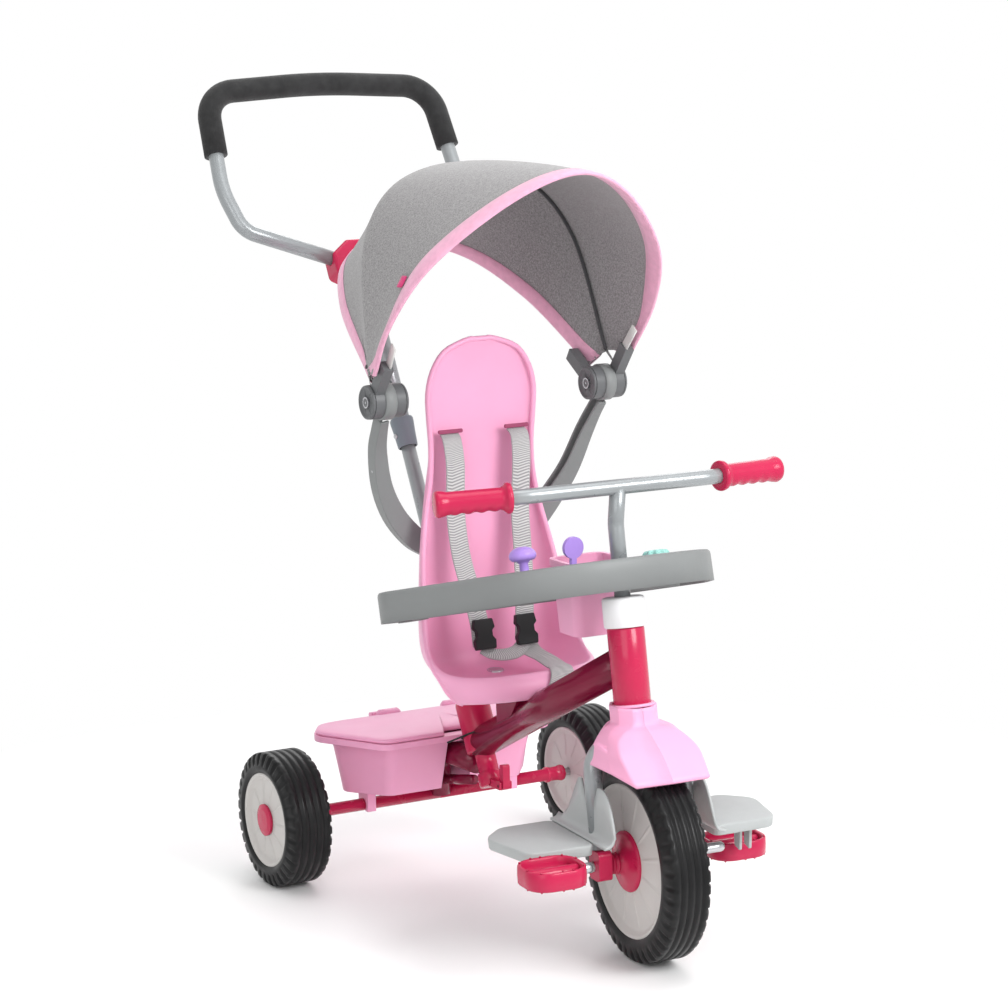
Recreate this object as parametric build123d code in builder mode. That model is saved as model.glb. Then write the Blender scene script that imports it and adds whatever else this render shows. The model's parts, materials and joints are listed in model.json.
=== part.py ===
from build123d import *
import math
import os

# Push tricycle for a toddler.  Millimetres, +Z up, floor at Z = 0, the rider faces -Y and +X is the
# rider's left.  Each function makes one piece and hands it to keep(), which labels and writes it.

os.makedirs("parts", exist_ok=True)

# ---- driving dimensions -------------------------------------------------------------------------
gap = 0.4                     # clearance between pieces that move past each other
running = 0.05                # radial clearance of a shaft in its bore
wheelbase = 507.4
rear_axle_y = 157.0
middle_y = 4.03               # keep() moves every piece forward by this, to the middle of the whole
front_axle_y = rear_axle_y - wheelbase

front_radius = 120.0
front_rim_radius = 92.0
front_half_width = 28.0
front_half_tread = 22.5
rear_radius = 85.7
rear_rim_radius = 61.0
rear_half_width = 30.0
rear_track = 223.5            # middle of each rear wheel from the centre plane
rear_axle_radius = 5.0
axle_tube_radius = 8.0

rake = 9.17                   # steering axis leans back
rest_steer = -5.81            # the front end stands turned a little to the rider's right
turn_lift = 0.31              # how far up its axis the turned front end sits to stay on the floor
steer_y, steer_z = -308.4, 400.0
head_bottom, head_top, cap_top = 300.0, 389.0, 424.0
head_radius = 22.0
stem_radius = 9.5
stem_joint_z = 330.0          # the fork's steerer ends here and the handlebar stem begins
fork_half_width = 59.5
fork_radius = 10.5
fork_end_z = 140.0
crown_z = 260.0

bar_radius = 9.0
bar_centre = Vector(0, -299.0, 552.0)
grip_end = Vector(221.5, -277.4, 549.4)
grip_length = 90.0

post_lean = 27.4              # push handle leans back
post_y, post_z = 66.2, 232.0  # a point on the post's axis
lower_post_radius = 9.5
upper_post_radius = 11.3
collar_s = 361.0              # distances along the post from that point
hub_s = 616.0
loop_radius = 9.9
foam_radius = 15.5

main_tube_radius = 20.5
tube_rear = Vector(0, 40.0, 177.0)
tube_front = Vector(0, -300.0, 342.6)
socket_radius = 22.0
lever_y, lever_z = -18.0, 134.0

hub_x, hub_y, hub_z = 155.0, -11.0, 633.0      # canopy hub
hub_radius = 21.0
hub_slice = 14.0
pin_radius = 4.0
front_bow_angle, rear_bow_angle = 37.5, -57.7  # tilt forward from upright
front_bow = [(0, 351), (77, 315), (154, 225), (184, 134), (181, 45)]
middle_bow = [(0, 292), (96, 266), (150, 191), (169, 58), (169, 40)]
rear_bow = [(0, 313), (85, 279), (133, 182), (152, 60), (152, 35)]
middle_angle = -17.0
stub_foot, stub_top = 17.0, 60.0               # reach of the bow stubs from the hub's middle
arch_spring = 120.0           # height above the hubs where the arches start to round over
fabric_thick, bow_thick = 3.0, 2.5
bow_inset = 16.0              # the strips run this far inside the cover

tray_origin = Vector(0, -143.0, 427.0)
tray_tilt = 14.0
tray_height = 36.0
tray_recess = 12.0
wall = 3.0

bin_rim_z = 182.0
bin_floor_z = 104.0
bin_hinge_y, bin_hinge_z = 213.0, 187.0

crank_angle, crank_throw = 18.0, 73.0
crank_radius = 6.0
arm_x = 101.0                 # plane of the crank arms
pedal_x = 152.0
pedal_half = 36.0
pedal_height = 27.0

foot_z = 155.0                # top of the footrests
foot_hinge_x, foot_hinge_z = 73.0, 152.0
foot_lugs = (-262.0, -334.0)  # rear face of each hinge lug, less its 4 mm

steer_axis = Axis((0, steer_y, steer_z), (0, math.sin(math.radians(rake)), math.cos(math.radians(rake))))
post_dir = Vector(0, math.sin(math.radians(post_lean)), math.cos(math.radians(post_lean)))
across = Vector(1, 0, 0)
pieces = []


def keep(part, name, steered=False):
    """Turn a front-end piece to its rest angle, label it and write its STEP file."""
    if steered:
        part = part.rotate(steer_axis, rest_steer).moved(Location(steer_axis.direction * turn_lift))
    part = part.moved(Location((0, -middle_y, 0)))
    part.label = name
    export_step(part, f"parts/{name}.step")
    pieces.append(name)


def steer_plane(z):
    """Plane square to the steering axis, where the axis passes height z."""
    y = steer_y + (z - steer_z) * math.tan(math.radians(rake))
    return Plane(origin=(0, y, z), x_dir=across, z_dir=steer_axis.direction)


def post_plane(s):
    """Plane square to the handle post, s along it."""
    return Plane(origin=Vector(0, post_y, post_z) + post_dir * s, x_dir=across, z_dir=post_dir)


def loop_plane(forward=0.0):
    """Plane of the handle loop: X across, Y up along the post."""
    normal = across.cross(post_dir)
    origin = Vector(0, post_y, post_z) + post_dir * hub_s + normal * forward
    return Plane(origin=origin, x_dir=across, z_dir=normal)


def bow_plane(angle):
    """Plane through both canopy hubs, tilted forward by angle: X across, Y outwards."""
    out = Vector(0, -math.sin(math.radians(angle)), math.cos(math.radians(angle)))
    return Plane(origin=(0, hub_y, hub_z), x_dir=across, z_dir=across.cross(out))


def tray_plane(drop=0.0):
    """Plane of the tray's rim, or drop below it: X across, Y rearwards."""
    normal = Vector(0, math.sin(math.radians(tray_tilt)), math.cos(math.radians(tray_tilt)))
    return Plane(origin=tray_origin - normal * drop, x_dir=across, z_dir=normal)


def side_plane(x):
    """Plane across the trike at x: local X runs along +Y and local Y along +Z."""
    return Plane(origin=(x, 0, 0), x_dir=(0, 1, 0), z_dir=(1, 0, 0))


def rod(x_from, x_to, y, z, radius, bore=0.0):
    """Round bar or sleeve along X."""
    with BuildPart() as bar:
        with BuildSketch(side_plane(x_from)):
            with Locations((y, z)):
                Circle(radius)
                if bore:
                    Circle(bore, mode=Mode.SUBTRACT)
        extrude(amount=x_to - x_from)
    return bar.part


def block(x, y, z):
    """Plain block between the two values given for each direction."""
    with BuildPart() as box:
        with Locations(((x[0] + x[1]) / 2, (y[0] + y[1]) / 2, (z[0] + z[1]) / 2)):
            Box(x[1] - x[0], y[1] - y[0], z[1] - z[0])
    return box.part


def cylinder_on(plane, radius, length, bore=0.0):
    with BuildPart() as bar:
        with BuildSketch(plane):
            Circle(radius)
            if bore:
                Circle(bore, mode=Mode.SUBTRACT)
        extrude(amount=length)
    return bar.part


def tube(points, radius, bends, bore=0.0):
    """Solid or hollow tube along straight runs joined by bends."""
    with BuildPart() as pipe:
        with BuildLine() as path:
            if bends:
                FilletPolyline(*points, radius=bends)
            else:
                Line(*points)
        with BuildSketch(Plane(origin=path.line @ 0, z_dir=path.line % 0)):
            Circle(radius)
            if bore:
                Circle(bore, mode=Mode.SUBTRACT)
        sweep(path=path.line)
    return pipe.part


def mirrored(points):
    """Right half of an outline, top first, completed by its mirror image."""
    left = [(-x, y) for x, y in points[::-1] if x != 0]
    return left + list(points)


# ---- frame --------------------------------------------------------------------------------------
def main_tube():
    along = (tube_front - tube_rear).normalized()
    body = cylinder_on(Plane(origin=tube_rear, x_dir=across, z_dir=along), main_tube_radius,
                       (tube_front - tube_rear).length, main_tube_radius - 2)
    body -= cylinder_on(steer_plane(head_bottom - 40), head_radius, 200)
    body -= cylinder_on(post_plane(-140), socket_radius, 220)
    keep(Part(body.solids().sort_by(SortBy.VOLUME)[-1].wrapped), "main_tube")


def head_tube():
    length = (head_top - head_bottom) / math.cos(math.radians(rake))
    keep(cylinder_on(steer_plane(head_bottom), head_radius, length, stem_radius + running), "head_tube")


def head_cap():
    with BuildPart() as body:
        with BuildSketch(steer_plane(head_top)):
            Circle(25.0)
            Circle(stem_radius + gap, mode=Mode.SUBTRACT)
        extrude(amount=(cap_top - head_top) / math.cos(math.radians(rake)))
        fillet(body.edges().filter_by(GeomType.CIRCLE).sort_by(Axis.Z)[-1], 2.0)
    keep(body.part, "head_cap")


def handle_socket():
    """Socket that holds the push handle, with a domed top and a narrower clamp foot."""
    with BuildPart() as body:
        with BuildSketch(post_plane(-72)):
            Circle(socket_radius)
        extrude(amount=72)
        fillet(body.edges().filter_by(GeomType.CIRCLE).sort_by(Axis.Z)[-1], 7.0)
        with BuildSketch(post_plane(-118)):
            Circle(13.0)
        extrude(amount=46)
        with BuildSketch(post_plane(-118)):
            Circle(16.0)
        extrude(amount=16)
        with BuildSketch(post_plane(-102)):
            Circle(lower_post_radius + running)
        extrude(amount=130, mode=Mode.SUBTRACT)
    solid = body.part
    for x in (-9, 5.4):
        solid += block((x, x + 3.6), (lever_y - 4, 8), (lever_z - 5, lever_z + 5))
    solid += rod(-9, 9, lever_y, lever_z, 2.0)
    keep(solid, "handle_socket")


def release_lever():
    """Lever beside the clamp foot that frees the push handle."""
    with BuildPart() as body:
        with BuildSketch(side_plane(-5)):
            with Locations((lever_y, lever_z)):
                Circle(6.0)
            with Locations((lever_y - 1.5, lever_z + 13)):
                RectangleRounded(9, 28, 3)
            with Locations((lever_y, lever_z)):
                Circle(2.0 + running, mode=Mode.SUBTRACT)
        extrude(amount=10)
    keep(body.part, "release_lever")


def rear_yoke():
    """Curved tube from the socket down to the rear axle, with a thin brace welded under it."""
    curve = tube([(0, 52, 150), (0, 153, 146), (0, rear_axle_y, rear_radius)], 16.0, 26)
    body = curve + (tube([(0, 60, 124), (0, 150, 105)], 6.5, None) - curve)
    body -= cylinder_on(post_plane(-140), socket_radius, 180)
    body -= rod(-30, 30, rear_axle_y, rear_radius, axle_tube_radius)
    keep(Part(body.solids().sort_by(SortBy.VOLUME)[-1].wrapped), "rear_yoke")


def axle_tube():
    body = rod(-190, 190, rear_axle_y, rear_radius, axle_tube_radius, rear_axle_radius)
    for x in (-188, 162):
        body += rod(x, x + 26, rear_axle_y, rear_radius, axle_tube_radius + 2.2, rear_axle_radius)
    keep(body, "axle_tube")


def rear_axle():
    keep(rod(-249, 249, rear_axle_y, rear_radius, rear_axle_radius), "rear_axle")


def seat_bracket():
    """Pressed saddle between the main tube and the seat pan."""
    with BuildPart() as body:
        with BuildSketch(side_plane(-20)):
            Polygon((-86, 256), (-86, 267), (-34, 267), (-38, 212), (-62, 222), align=None)
        extrude(amount=40)
        with BuildSketch(side_plane(-12)):
            Polygon((-60, 262), (-60, 267), (12, 267), (12, 262), align=None)
        extrude(amount=24)
    solid = body.part
    along = (tube_front - tube_rear).normalized()
    tube_plane = Plane(origin=tube_rear - along * 60, x_dir=across, z_dir=along)
    solid -= cylinder_on(tube_plane, main_tube_radius, 420)
    solid -= cylinder_on(post_plane(-140), socket_radius, 160)
    solid -= cylinder_on(Plane.XY.offset(100), 4.2, 200)
    keep(Part(solid.solids().sort_by(Axis.Z)[-1].wrapped), "seat_bracket")


# ---- seat ---------------------------------------------------------------------------------------
seat_front = [(0, 697), (48, 688), (76, 655), (81, 610), (75, 540), (80, 490), (94, 430), (103, 370),
              (103, 310), (90, 269)]
seat_side = [(30, 700), (40, 620), (44, 480), (44, 300), (34, 269), (-88, 269), (-108, 282), (-102, 292),
             (-60, 298), (-22, 345), (0, 400), (14, 470), (20, 560), (18, 700)]
seat_hollow = [(24, 720), (25, 620), (38, 480), (38, 310), (22, 275), (-82, 275), (-94, 288), (-200, 288),
               (-200, 720)]
seat_plan = [(0, -108), (40, -102), (72, -84), (94, -60), (104, -28), (106, 60)]


def front_prism(inset):
    """Front outline of the seat, drawn in by inset, run through from front to back."""
    outline = [(x - inset * x / 80, z - (inset if z > 600 and x < 60 else 0)) for x, z in seat_front]
    with BuildPart() as prism:
        with BuildSketch(Plane.XZ.offset(-60)):
            with BuildLine():
                Spline(*mirrored(outline))
                Line(outline[-1], (-outline[-1][0], outline[-1][1]))
            make_face()
        extrude(amount=300)
    return prism.part


def plan_prism(inset):
    """Plan of the seat, rounded in front and drawn in by inset."""
    outline = [(x - inset * x / 80, y + inset * (y < -40)) for x, y in seat_plan]
    with BuildPart() as prism:
        with BuildSketch(Plane.XY.offset(200)):
            with BuildLine():
                Spline(*mirrored(outline))
                Line(outline[-1], (-outline[-1][0], outline[-1][1]))
            make_face()
        extrude(amount=600)
    return prism.part


def side_prism(outline, half_width):
    with BuildPart() as prism:
        with BuildSketch(side_plane(-half_width)):
            Polygon(*outline, align=None)
        extrude(amount=2 * half_width)
    return prism.part


def seat_shell():
    """Bucket seat: a tall narrow back over wide hips and a dished pan."""
    cuts = front_prism(5) & side_prism(seat_hollow, 200) & plan_prism(5)
    for x in (-58, 58):
        cuts += block((x - 17, x + 17), (-20, 60), (574, 580))
    cuts += block((-17, 17), (-62, -56), (250, 300)) + cylinder_on(Plane.XY.offset(250), 4.2, 60)
    body = front_prism(0) & side_prism(seat_side, 140) & plan_prism(0)
    keep(body - cuts, "seat_shell")


def seat_bolt():
    with BuildPart() as body:
        with BuildSketch(Plane.XY.offset(255)):
            Circle(4.0)
        extrude(amount=21)
        with BuildSketch(Plane.XY.offset(276)):
            Circle(11.0)
        extrude(amount=5)
        fillet(body.edges().filter_by(GeomType.CIRCLE).sort_by(Axis.Z)[-1], 3.0)
    keep(body.part, "seat_bolt")


# ---- harness ------------------------------------------------------------------------------------
def strap(points, thick, x_from, x_to):
    """Flat webbing whose side view follows points."""
    with BuildPart() as body:
        with BuildSketch(side_plane(x_from)):
            with BuildLine():
                Polyline(*points)
            trace(line_width=thick)
        extrude(amount=x_to - x_from)
    return body.part


def harness():
    side = [(20, 577), (8, 560), (6, 470), (-4, 400), (-18, 352)]
    both = [strap(side, 2.5, x, x + 28) for x in (-62, 34)]
    keep(both[0] + both[1], "shoulder_straps")
    front = [(-22, 312), (-50, 300), (-98, 300), (-117, 294), (-119, 283)]
    keep(strap(front, 2.5, -15, 15), "crotch_strap")
    with BuildPart() as buckles:
        with Locations((-30, -22, 332), (30, -22, 332)):
            Box(36, 9, 36)
        fillet(buckles.edges().filter_by(Axis.Y), 5.0)
    keep(buckles.part, "harness_buckles")


# ---- canopy -------------------------------------------------------------------------------------
def canopy_arm(side, name):
    """Channel-section arm from the back of the seat up to the canopy hub."""
    path = [(155, -5, 612, 12), (152, 8, 594, 14), (147, 24, 566, 18), (134, 40, 520, 22), (112, 53, 480, 26),
            (84, 60, 450, 28)]
    with BuildPart() as body:
        for i, (x, y, z, width) in enumerate(path):
            near = path[max(i - 1, 0)]
            far = path[min(i + 1, len(path) - 1)]
            down = Vector(far[0] - near[0], far[1] - near[1], far[2] - near[2]).normalized()
            with BuildSketch(Plane(origin=(x, y, z), x_dir=Vector(0, 1, 0) - down * down.Y, z_dir=down)):
                Rectangle(20, width)
        loft()
    core = rod(hub_x - hub_slice / 2, hub_x + hub_slice / 2, hub_y, hub_z, hub_radius, pin_radius)
    solid = body.part + core
    solid -= rod(hub_x - 20, hub_x + 20, hub_y, hub_z, pin_radius)
    if side < 0:
        solid = solid.mirror(Plane.YZ)
    keep(solid, name)


def canopy_pins():
    both = rod(hub_x - 24, hub_x + 24, hub_y, hub_z, pin_radius)
    both += rod(hub_x + 22, hub_x + 25, hub_y, hub_z, 7.0)
    both += rod(hub_x - 25, hub_x - 22, hub_y, hub_z, 7.0)
    keep(both + both.mirror(Plane.YZ), "canopy_pins")


def bow_arms(angle, x_from, name):
    """Hub discs that carry one bow, each with a short arm along it."""
    plane = bow_plane(angle)
    one = rod(x_from, x_from + hub_slice - 1, hub_y, hub_z, hub_radius, pin_radius + running)
    with BuildPart() as arm:
        with BuildSketch(Plane(origin=(x_from, hub_y, hub_z), x_dir=plane.z_dir, z_dir=across)):
            with Locations((0, -(stub_foot + stub_top) / 2)):
                Rectangle(16, stub_top - stub_foot)
        extrude(amount=hub_slice - 1)
    one += arm.part - rod(x_from - 1, x_from + hub_slice, hub_y, hub_z, hub_radius - 2)
    keep(one + one.mirror(Plane.YZ), name)


def drawn_in(points, amount):
    """Arch points moved inwards by amount: sideways on its legs, towards its middle on top."""
    moved = []
    for x, y in points:
        reach = math.hypot(x, max(y - arch_spring, 0))
        moved.append((x - amount * x / reach, y - amount * max(y - arch_spring, 0) / reach))
    return moved


def arch_face(angle, points, thick):
    """Band of an arch in its bow's plane, thick inwards from points."""
    with BuildSketch(bow_plane(angle)) as band:
        with BuildLine():
            outer = Spline(*mirrored(points))
            inner = Spline(*mirrored(drawn_in(points, thick)))
            Line(outer @ 0, inner @ 0)
            Line(outer @ 1, inner @ 1)
        make_face()
    return band.sketch


def bow_strip(angle, points, inward, name):
    """Flat sprung strip of a bow, just inside the fabric."""
    above_stub = [(x, y) for x, y in points if y > stub_top] + [(points[-1][0], stub_top)]
    band = arch_face(angle, drawn_in(above_stub, bow_inset), bow_thick)
    with BuildPart() as body:
        add(band)
        extrude(amount=12, dir=bow_plane(angle).z_dir * inward)
    keep(body.part, name)


def canopy_fabric():
    """Stretched cover over the bows, a thin closed shell open at the front, back and bottom."""
    bows = ((front_bow_angle, front_bow), (middle_angle, middle_bow), (rear_bow_angle, rear_bow))
    bands = [arch_face(angle, points, fabric_thick) for angle, points in bows]
    with BuildPart() as body:
        for band in bands:
            add(band)
        loft()
    keep(body.part, "canopy_fabric")


# ---- push handle --------------------------------------------------------------------------------
def lower_post():
    keep(cylinder_on(post_plane(-101), lower_post_radius, 571, lower_post_radius - 1.4), "lower_post")


def upper_post():
    keep(cylinder_on(post_plane(collar_s - 18), upper_post_radius, hub_s - 20 - collar_s + 18,
                     lower_post_radius + running), "upper_post")


def post_collar():
    with BuildPart() as body:
        with BuildSketch(post_plane(collar_s - 20)):
            Circle(13.0)
        with BuildSketch(post_plane(collar_s + 20)):
            Circle(15.5)
        loft()
    solid = body.part - cylinder_on(post_plane(collar_s - 60), upper_post_radius, 120)
    keep(solid, "post_collar")


loop_points = [(26, -11), (160, 42), (176, 100), (167, 240), (0, 250)]
loop_bends = [36, 120, 45, 900, 45, 120, 36]


def on_loop(points):
    plane = loop_plane()
    return [plane.from_local_coords((x, y, 0)) for x, y in points]


def handle_loop():
    points = on_loop([(x, y) for x, y in loop_points] + [(-x, y) for x, y in loop_points[-2::-1]])
    return tube(points, loop_radius, loop_bends)


def handle_pieces():
    loop = handle_loop()
    keep(loop, "handle_loop")
    foam = [(172.8, 150), (167, 240), (0, 250), (-167, 240), (-172.8, 150)]
    keep(tube(on_loop(foam), foam_radius, loop_bends[2:-2], loop_radius), "handle_grip")
    with BuildPart() as hub:
        with BuildSketch(loop_plane(-15)):
            Polygon((-46, -30), (-46, -2), (-22, 16), (22, 16), (46, -2), (46, -30), (17, -46), (-17, -46),
                    align=None)
            fillet(vertices(), 8.0)
        extrude(amount=30)
        fillet(hub.faces().sort_by(Axis(hub.part.center(), loop_plane().z_dir))[-1].edges(), 4.0)
    with BuildPart() as pocket:
        with BuildSketch(loop_plane(10.7)):
            SlotOverall(26.6, 15.6)
        extrude(amount=6)
    solid = hub.part - loop - cylinder_on(post_plane(hub_s - 80), upper_post_radius, 60) - pocket.part
    keep(Part(solid.solids().sort_by(SortBy.VOLUME)[-1].wrapped), "handle_hub")
    with BuildPart() as button:
        with BuildSketch(loop_plane(13)):
            SlotOverall(26, 15)
        extrude(amount=5)
    keep(button.part, "hub_button")


# ---- front end, drawn straight ahead and turned by keep() -----------------------------------------
def fork():
    """Two legs joined by a bent crown, and the steerer."""
    plane = Plane(origin=steer_plane(crown_z).origin, x_dir=across, z_dir=across.cross(steer_axis.direction))
    low = (fork_end_z - crown_z) / math.cos(math.radians(rake))
    w = fork_half_width
    points = [plane.from_local_coords((x, y, 0)) for x, y in ((-w, low), (-w, 0), (w, 0), (w, low))]
    body = tube(points, fork_radius, 34)
    body += cylinder_on(steer_plane(crown_z), stem_radius,
                        (stem_joint_z - crown_z) / math.cos(math.radians(rake)))
    keep(body, "fork", steered=True)


def fork_ends():
    both = None
    for x in (-68, 51):
        with BuildPart() as body:
            with BuildSketch(side_plane(x)):
                with Locations((front_axle_y - 3, 122)):
                    RectangleRounded(27, 35, 6)
                with Locations((front_axle_y, front_radius)):
                    Circle(crank_radius + running, mode=Mode.SUBTRACT)
            extrude(amount=17)
        top = cylinder_on(steer_plane(fork_end_z), 200, 60)
        one = body.part - top
        both = one if both is None else both + one
    keep(both, "fork_ends", steered=True)


def handlebar():
    stem = [(0, steer_plane(stem_joint_z).origin.Y, stem_joint_z), (0, steer_plane(508).origin.Y, 508),
            tuple(bar_centre)]
    body = tube(stem, stem_radius, 30)
    inner = Vector(112, bar_centre.Y, bar_centre.Z)
    end = grip_end - (grip_end - inner).normalized() * 3
    bar = [Vector(-end.X, end.Y, end.Z), Vector(-inner.X, inner.Y, inner.Z), inner, end]
    body += tube(bar, bar_radius, 60)
    keep(body, "handlebar", steered=True)


def grips():
    inner = Vector(112, bar_centre.Y, bar_centre.Z)
    inward = (inner - grip_end).normalized()
    with BuildPart() as grip:
        with BuildSketch(Plane(origin=grip_end, x_dir=(0, 0, 1), z_dir=inward)):
            Circle(14.0)
        extrude(amount=grip_length)
        with BuildSketch(Plane(origin=grip_end + inward * (grip_length - 6), x_dir=(0, 0, 1), z_dir=inward)):
            Circle(18.0)
        extrude(amount=6)
        with BuildSketch(Plane(origin=grip_end, x_dir=(0, 0, 1), z_dir=inward)):
            Circle(15.5)
        extrude(amount=8)
        with BuildSketch(Plane(origin=grip_end + inward * 3, x_dir=(0, 0, 1), z_dir=inward)):
            Circle(bar_radius)
        extrude(amount=grip_length, mode=Mode.SUBTRACT)
    keep(grip.part, "grip_left", steered=True)
    keep(grip.part.mirror(Plane.YZ), "grip_right", steered=True)


def octagon(half_width, front, rear, corner):
    return [(-corner, front), (corner, front), (half_width, front * 0.45), (half_width, rear * 0.5),
            (corner, rear), (-corner, rear), (-half_width, rear * 0.5), (-half_width, front * 0.45)]


def fender_body(inset):
    sections = [(296, octagon(28 - inset, -28 + inset, 28 - inset, 12)),
                (282 - inset, octagon(29 - inset, -29 + inset, 29 - inset, 13)),
                (264 - inset, octagon(62 - inset, -56 + inset, 50 - inset, 26)),
                (228 if not inset else 226, octagon(79 - inset, -92 + inset, 66 - inset, 36))]
    with BuildPart() as body:
        for z, points in sections:
            with BuildSketch(steer_plane(z)):
                Polygon(*points, align=None)
        loft(ruled=True)
    return body.part


def fender():
    body = fender_body(0) - fender_body(3)
    with BuildPart() as top:
        with BuildSketch(steer_plane(293)):
            Polygon(*octagon(27, -27, 27, 12), align=None)
            Circle(stem_radius, mode=Mode.SUBTRACT)
        extrude(amount=3)
    keep(body + top.part, "fender", steered=True)


def foot_bracket(side, name):
    """Upright wing beside the fork leg, with lugs for the footrest hinge and a rib down to the axle."""
    wing = [(-352, 150), (-352, 208), (-372, 206), (-392, 186), (-400, 150)]
    rear = [(-328, 150), (-328, 208), (-240, 150)]
    with BuildPart() as body:
        with BuildSketch(side_plane(57)):
            Polygon(*[(y - 10, z) for y, z in wing], align=None)
            Polygon(*rear, align=None)
            Polygon((-410, 142), (-410, 152), (-240, 152), (-240, 142), align=None)
        extrude(amount=4)
    leg = Plane(origin=steer_plane(crown_z).origin + across * fork_half_width, x_dir=across,
                z_dir=steer_axis.direction * -1)
    solid = body.part - cylinder_on(leg, fork_radius + 0.5, 160)
    for y in foot_lugs:
        solid += block((60, foot_hinge_x), (y, y + 4), (148, 156))
        solid += cylinder_on(Plane(origin=(foot_hinge_x, y + 4, foot_hinge_z), z_dir=(0, -1, 0)), 4.0, 4)
    solid += block((61, 72), (-300, -280), (142, 146))
    for y in foot_lugs:
        solid -= cylinder_on(Plane(origin=(foot_hinge_x, y + 5, foot_hinge_z), z_dir=(0, -1, 0)), 2.0, 6)
    solid = Part(solid.solids().sort_by(SortBy.VOLUME)[-1].wrapped)
    keep(solid.mirror(Plane.YZ) if side < 0 else solid, name, steered=True)


def footrest(side, name):
    """Fold-up platform with a skirt, a hinge barrel and a post that stops the pedal."""
    outline = [(74, -258), (150, -258), (176, -286), (158, -372), (148, -378), (74, -378)]
    with BuildPart() as body:
        with BuildSketch(Plane.XY.offset(foot_z - 14)):
            Polygon(*outline, align=None)
        extrude(amount=14)
        fillet(body.edges().filter_by(Axis.Z).sort_by(Axis.X)[2:], 7.0)
        with BuildSketch(Plane.XY.offset(foot_z - 14)):
            Polygon((77, -261), (149, -261), (173, -286), (155, -370), (147, -375), (77, -375), align=None)
        extrude(amount=11, mode=Mode.SUBTRACT)
    solid = body.part - block((70, 82), (-376, -327), (130, 160)) - block((70, 80), (-264, -250), (130, 160))
    for x in (126, 138):
        solid += block((x, x + 6), (-342, -330), (108, foot_z - 2))
    barrel = Plane(origin=(foot_hinge_x, -263, foot_hinge_z), z_dir=(0, -1, 0))
    solid += cylinder_on(barrel, 4.0, 66)
    solid -= cylinder_on(barrel.offset(-5), 2.0 + running, 80)
    solid = Part(solid.solids().sort_by(SortBy.VOLUME)[-1].wrapped)
    keep(solid.mirror(Plane.YZ) if side < 0 else solid, name, steered=True)


def footrest_pins():
    pin = cylinder_on(Plane(origin=(foot_hinge_x, -258, foot_hinge_z), z_dir=(0, -1, 0)), 2.0, 76)
    keep(pin + pin.mirror(Plane.YZ), "footrest_pins", steered=True)


# ---- crank and pedals ---------------------------------------------------------------------------
pedal_dy = crank_throw * math.cos(math.radians(crank_angle))
pedal_dz = crank_throw * math.sin(math.radians(crank_angle))


def crank():
    points = [(-192, front_axle_y - pedal_dy, front_radius + pedal_dz),
              (-arm_x, front_axle_y - pedal_dy, front_radius + pedal_dz),
              (-arm_x, front_axle_y, front_radius), (arm_x, front_axle_y, front_radius),
              (arm_x, front_axle_y + pedal_dy, front_radius - pedal_dz),
              (192, front_axle_y + pedal_dy, front_radius - pedal_dz)]
    keep(tube(points, crank_radius, 9), "crank", steered=True)


def pedal(side, name):
    """Rounded tread block: an outer ring, a centre boss on the stud and cross bars."""
    y = front_axle_y + side * pedal_dy
    z = front_radius - side * pedal_dz
    low = Plane.XY.offset(z - pedal_height / 2)
    with BuildPart() as body:
        with BuildSketch(low):
            with Locations((side * pedal_x, y)):
                RectangleRounded(2 * pedal_half, 70, 26)
                RectangleRounded(2 * pedal_half - 9, 61, 22, mode=Mode.SUBTRACT)
                Rectangle(2 * pedal_half - 6, 6)
        extrude(amount=pedal_height)
        with BuildSketch(low.offset(8)):
            with Locations((side * pedal_x - 16, y), (side * pedal_x + 16, y)):
                Rectangle(5, 64)
        extrude(amount=11)
    solid = body.part + rod(side * pedal_x - 35, side * pedal_x + 35, y, z, 10.0)
    solid -= rod(side * pedal_x - 60, side * pedal_x + 60, y, z, crank_radius + running)
    keep(solid, name, steered=True)


# ---- wheels -------------------------------------------------------------------------------------
def spun(profile, centre):
    """Solid of revolution about X through centre, from an outline of (x, radius) pairs."""
    plane = Plane(origin=centre, x_dir=(1, 0, 0), z_dir=(0, -1, 0))
    with BuildPart() as body:
        with BuildSketch(plane):
            Polygon(*profile, align=None)
        revolve(axis=Axis(centre, (1, 0, 0)), revolution_arc=360)
    return body.part


def tyre_outline(radius, rim, half, tread, grooves):
    """Half section of a tyre with grooves round its tread, centred on x = 0."""
    top = []
    for x in grooves:
        top += [(x - 1.2, radius), (x - 0.8, radius - 2.0), (x + 0.8, radius - 2.0), (x + 1.2, radius)]
    side = [(half - 2, rim), (half, rim + 4), (half, radius - 10), (tread, radius - 1.5), (tread - 2, radius)]
    return [(-x, r) for x, r in side] + top + side[::-1]


def wheel_half(outer_face, rim, bore, face_x, boss):
    """Right half of a hollow moulded wheel, from its centre plane to outer_face."""
    return [(0, bore), (0, boss), (face_x - 4, boss), (face_x - 4, rim - 6), (0, rim - 6), (0, rim),
            (outer_face, rim), (outer_face, rim - 4), (face_x, rim - 9), (face_x, bore)]


def front_wheel():
    centre = Vector(0, front_axle_y, front_radius)
    grooves = (-13.5, -4.5, 4.5, 13.5)
    outline = tyre_outline(front_radius, front_rim_radius, front_half_width, front_half_tread, grooves)
    tyre = spun(outline, centre)
    keep(tyre, "front_tyre", steered=True)
    half = spun(wheel_half(26, front_rim_radius, crank_radius + running, 24, 13), centre)
    keep(half + half.mirror(Plane.YZ), "front_wheel_discs", steered=True)
    boss = spun([(24, 6.6), (24, 36), (26, 36), (29, 20), (33, 14), (46, 10), (46, 9), (50.6, 9),
                 (50.6, 6.6)],
                centre)
    keep(boss + boss.mirror(Plane.YZ), "front_hub_flanges", steered=True)


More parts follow.
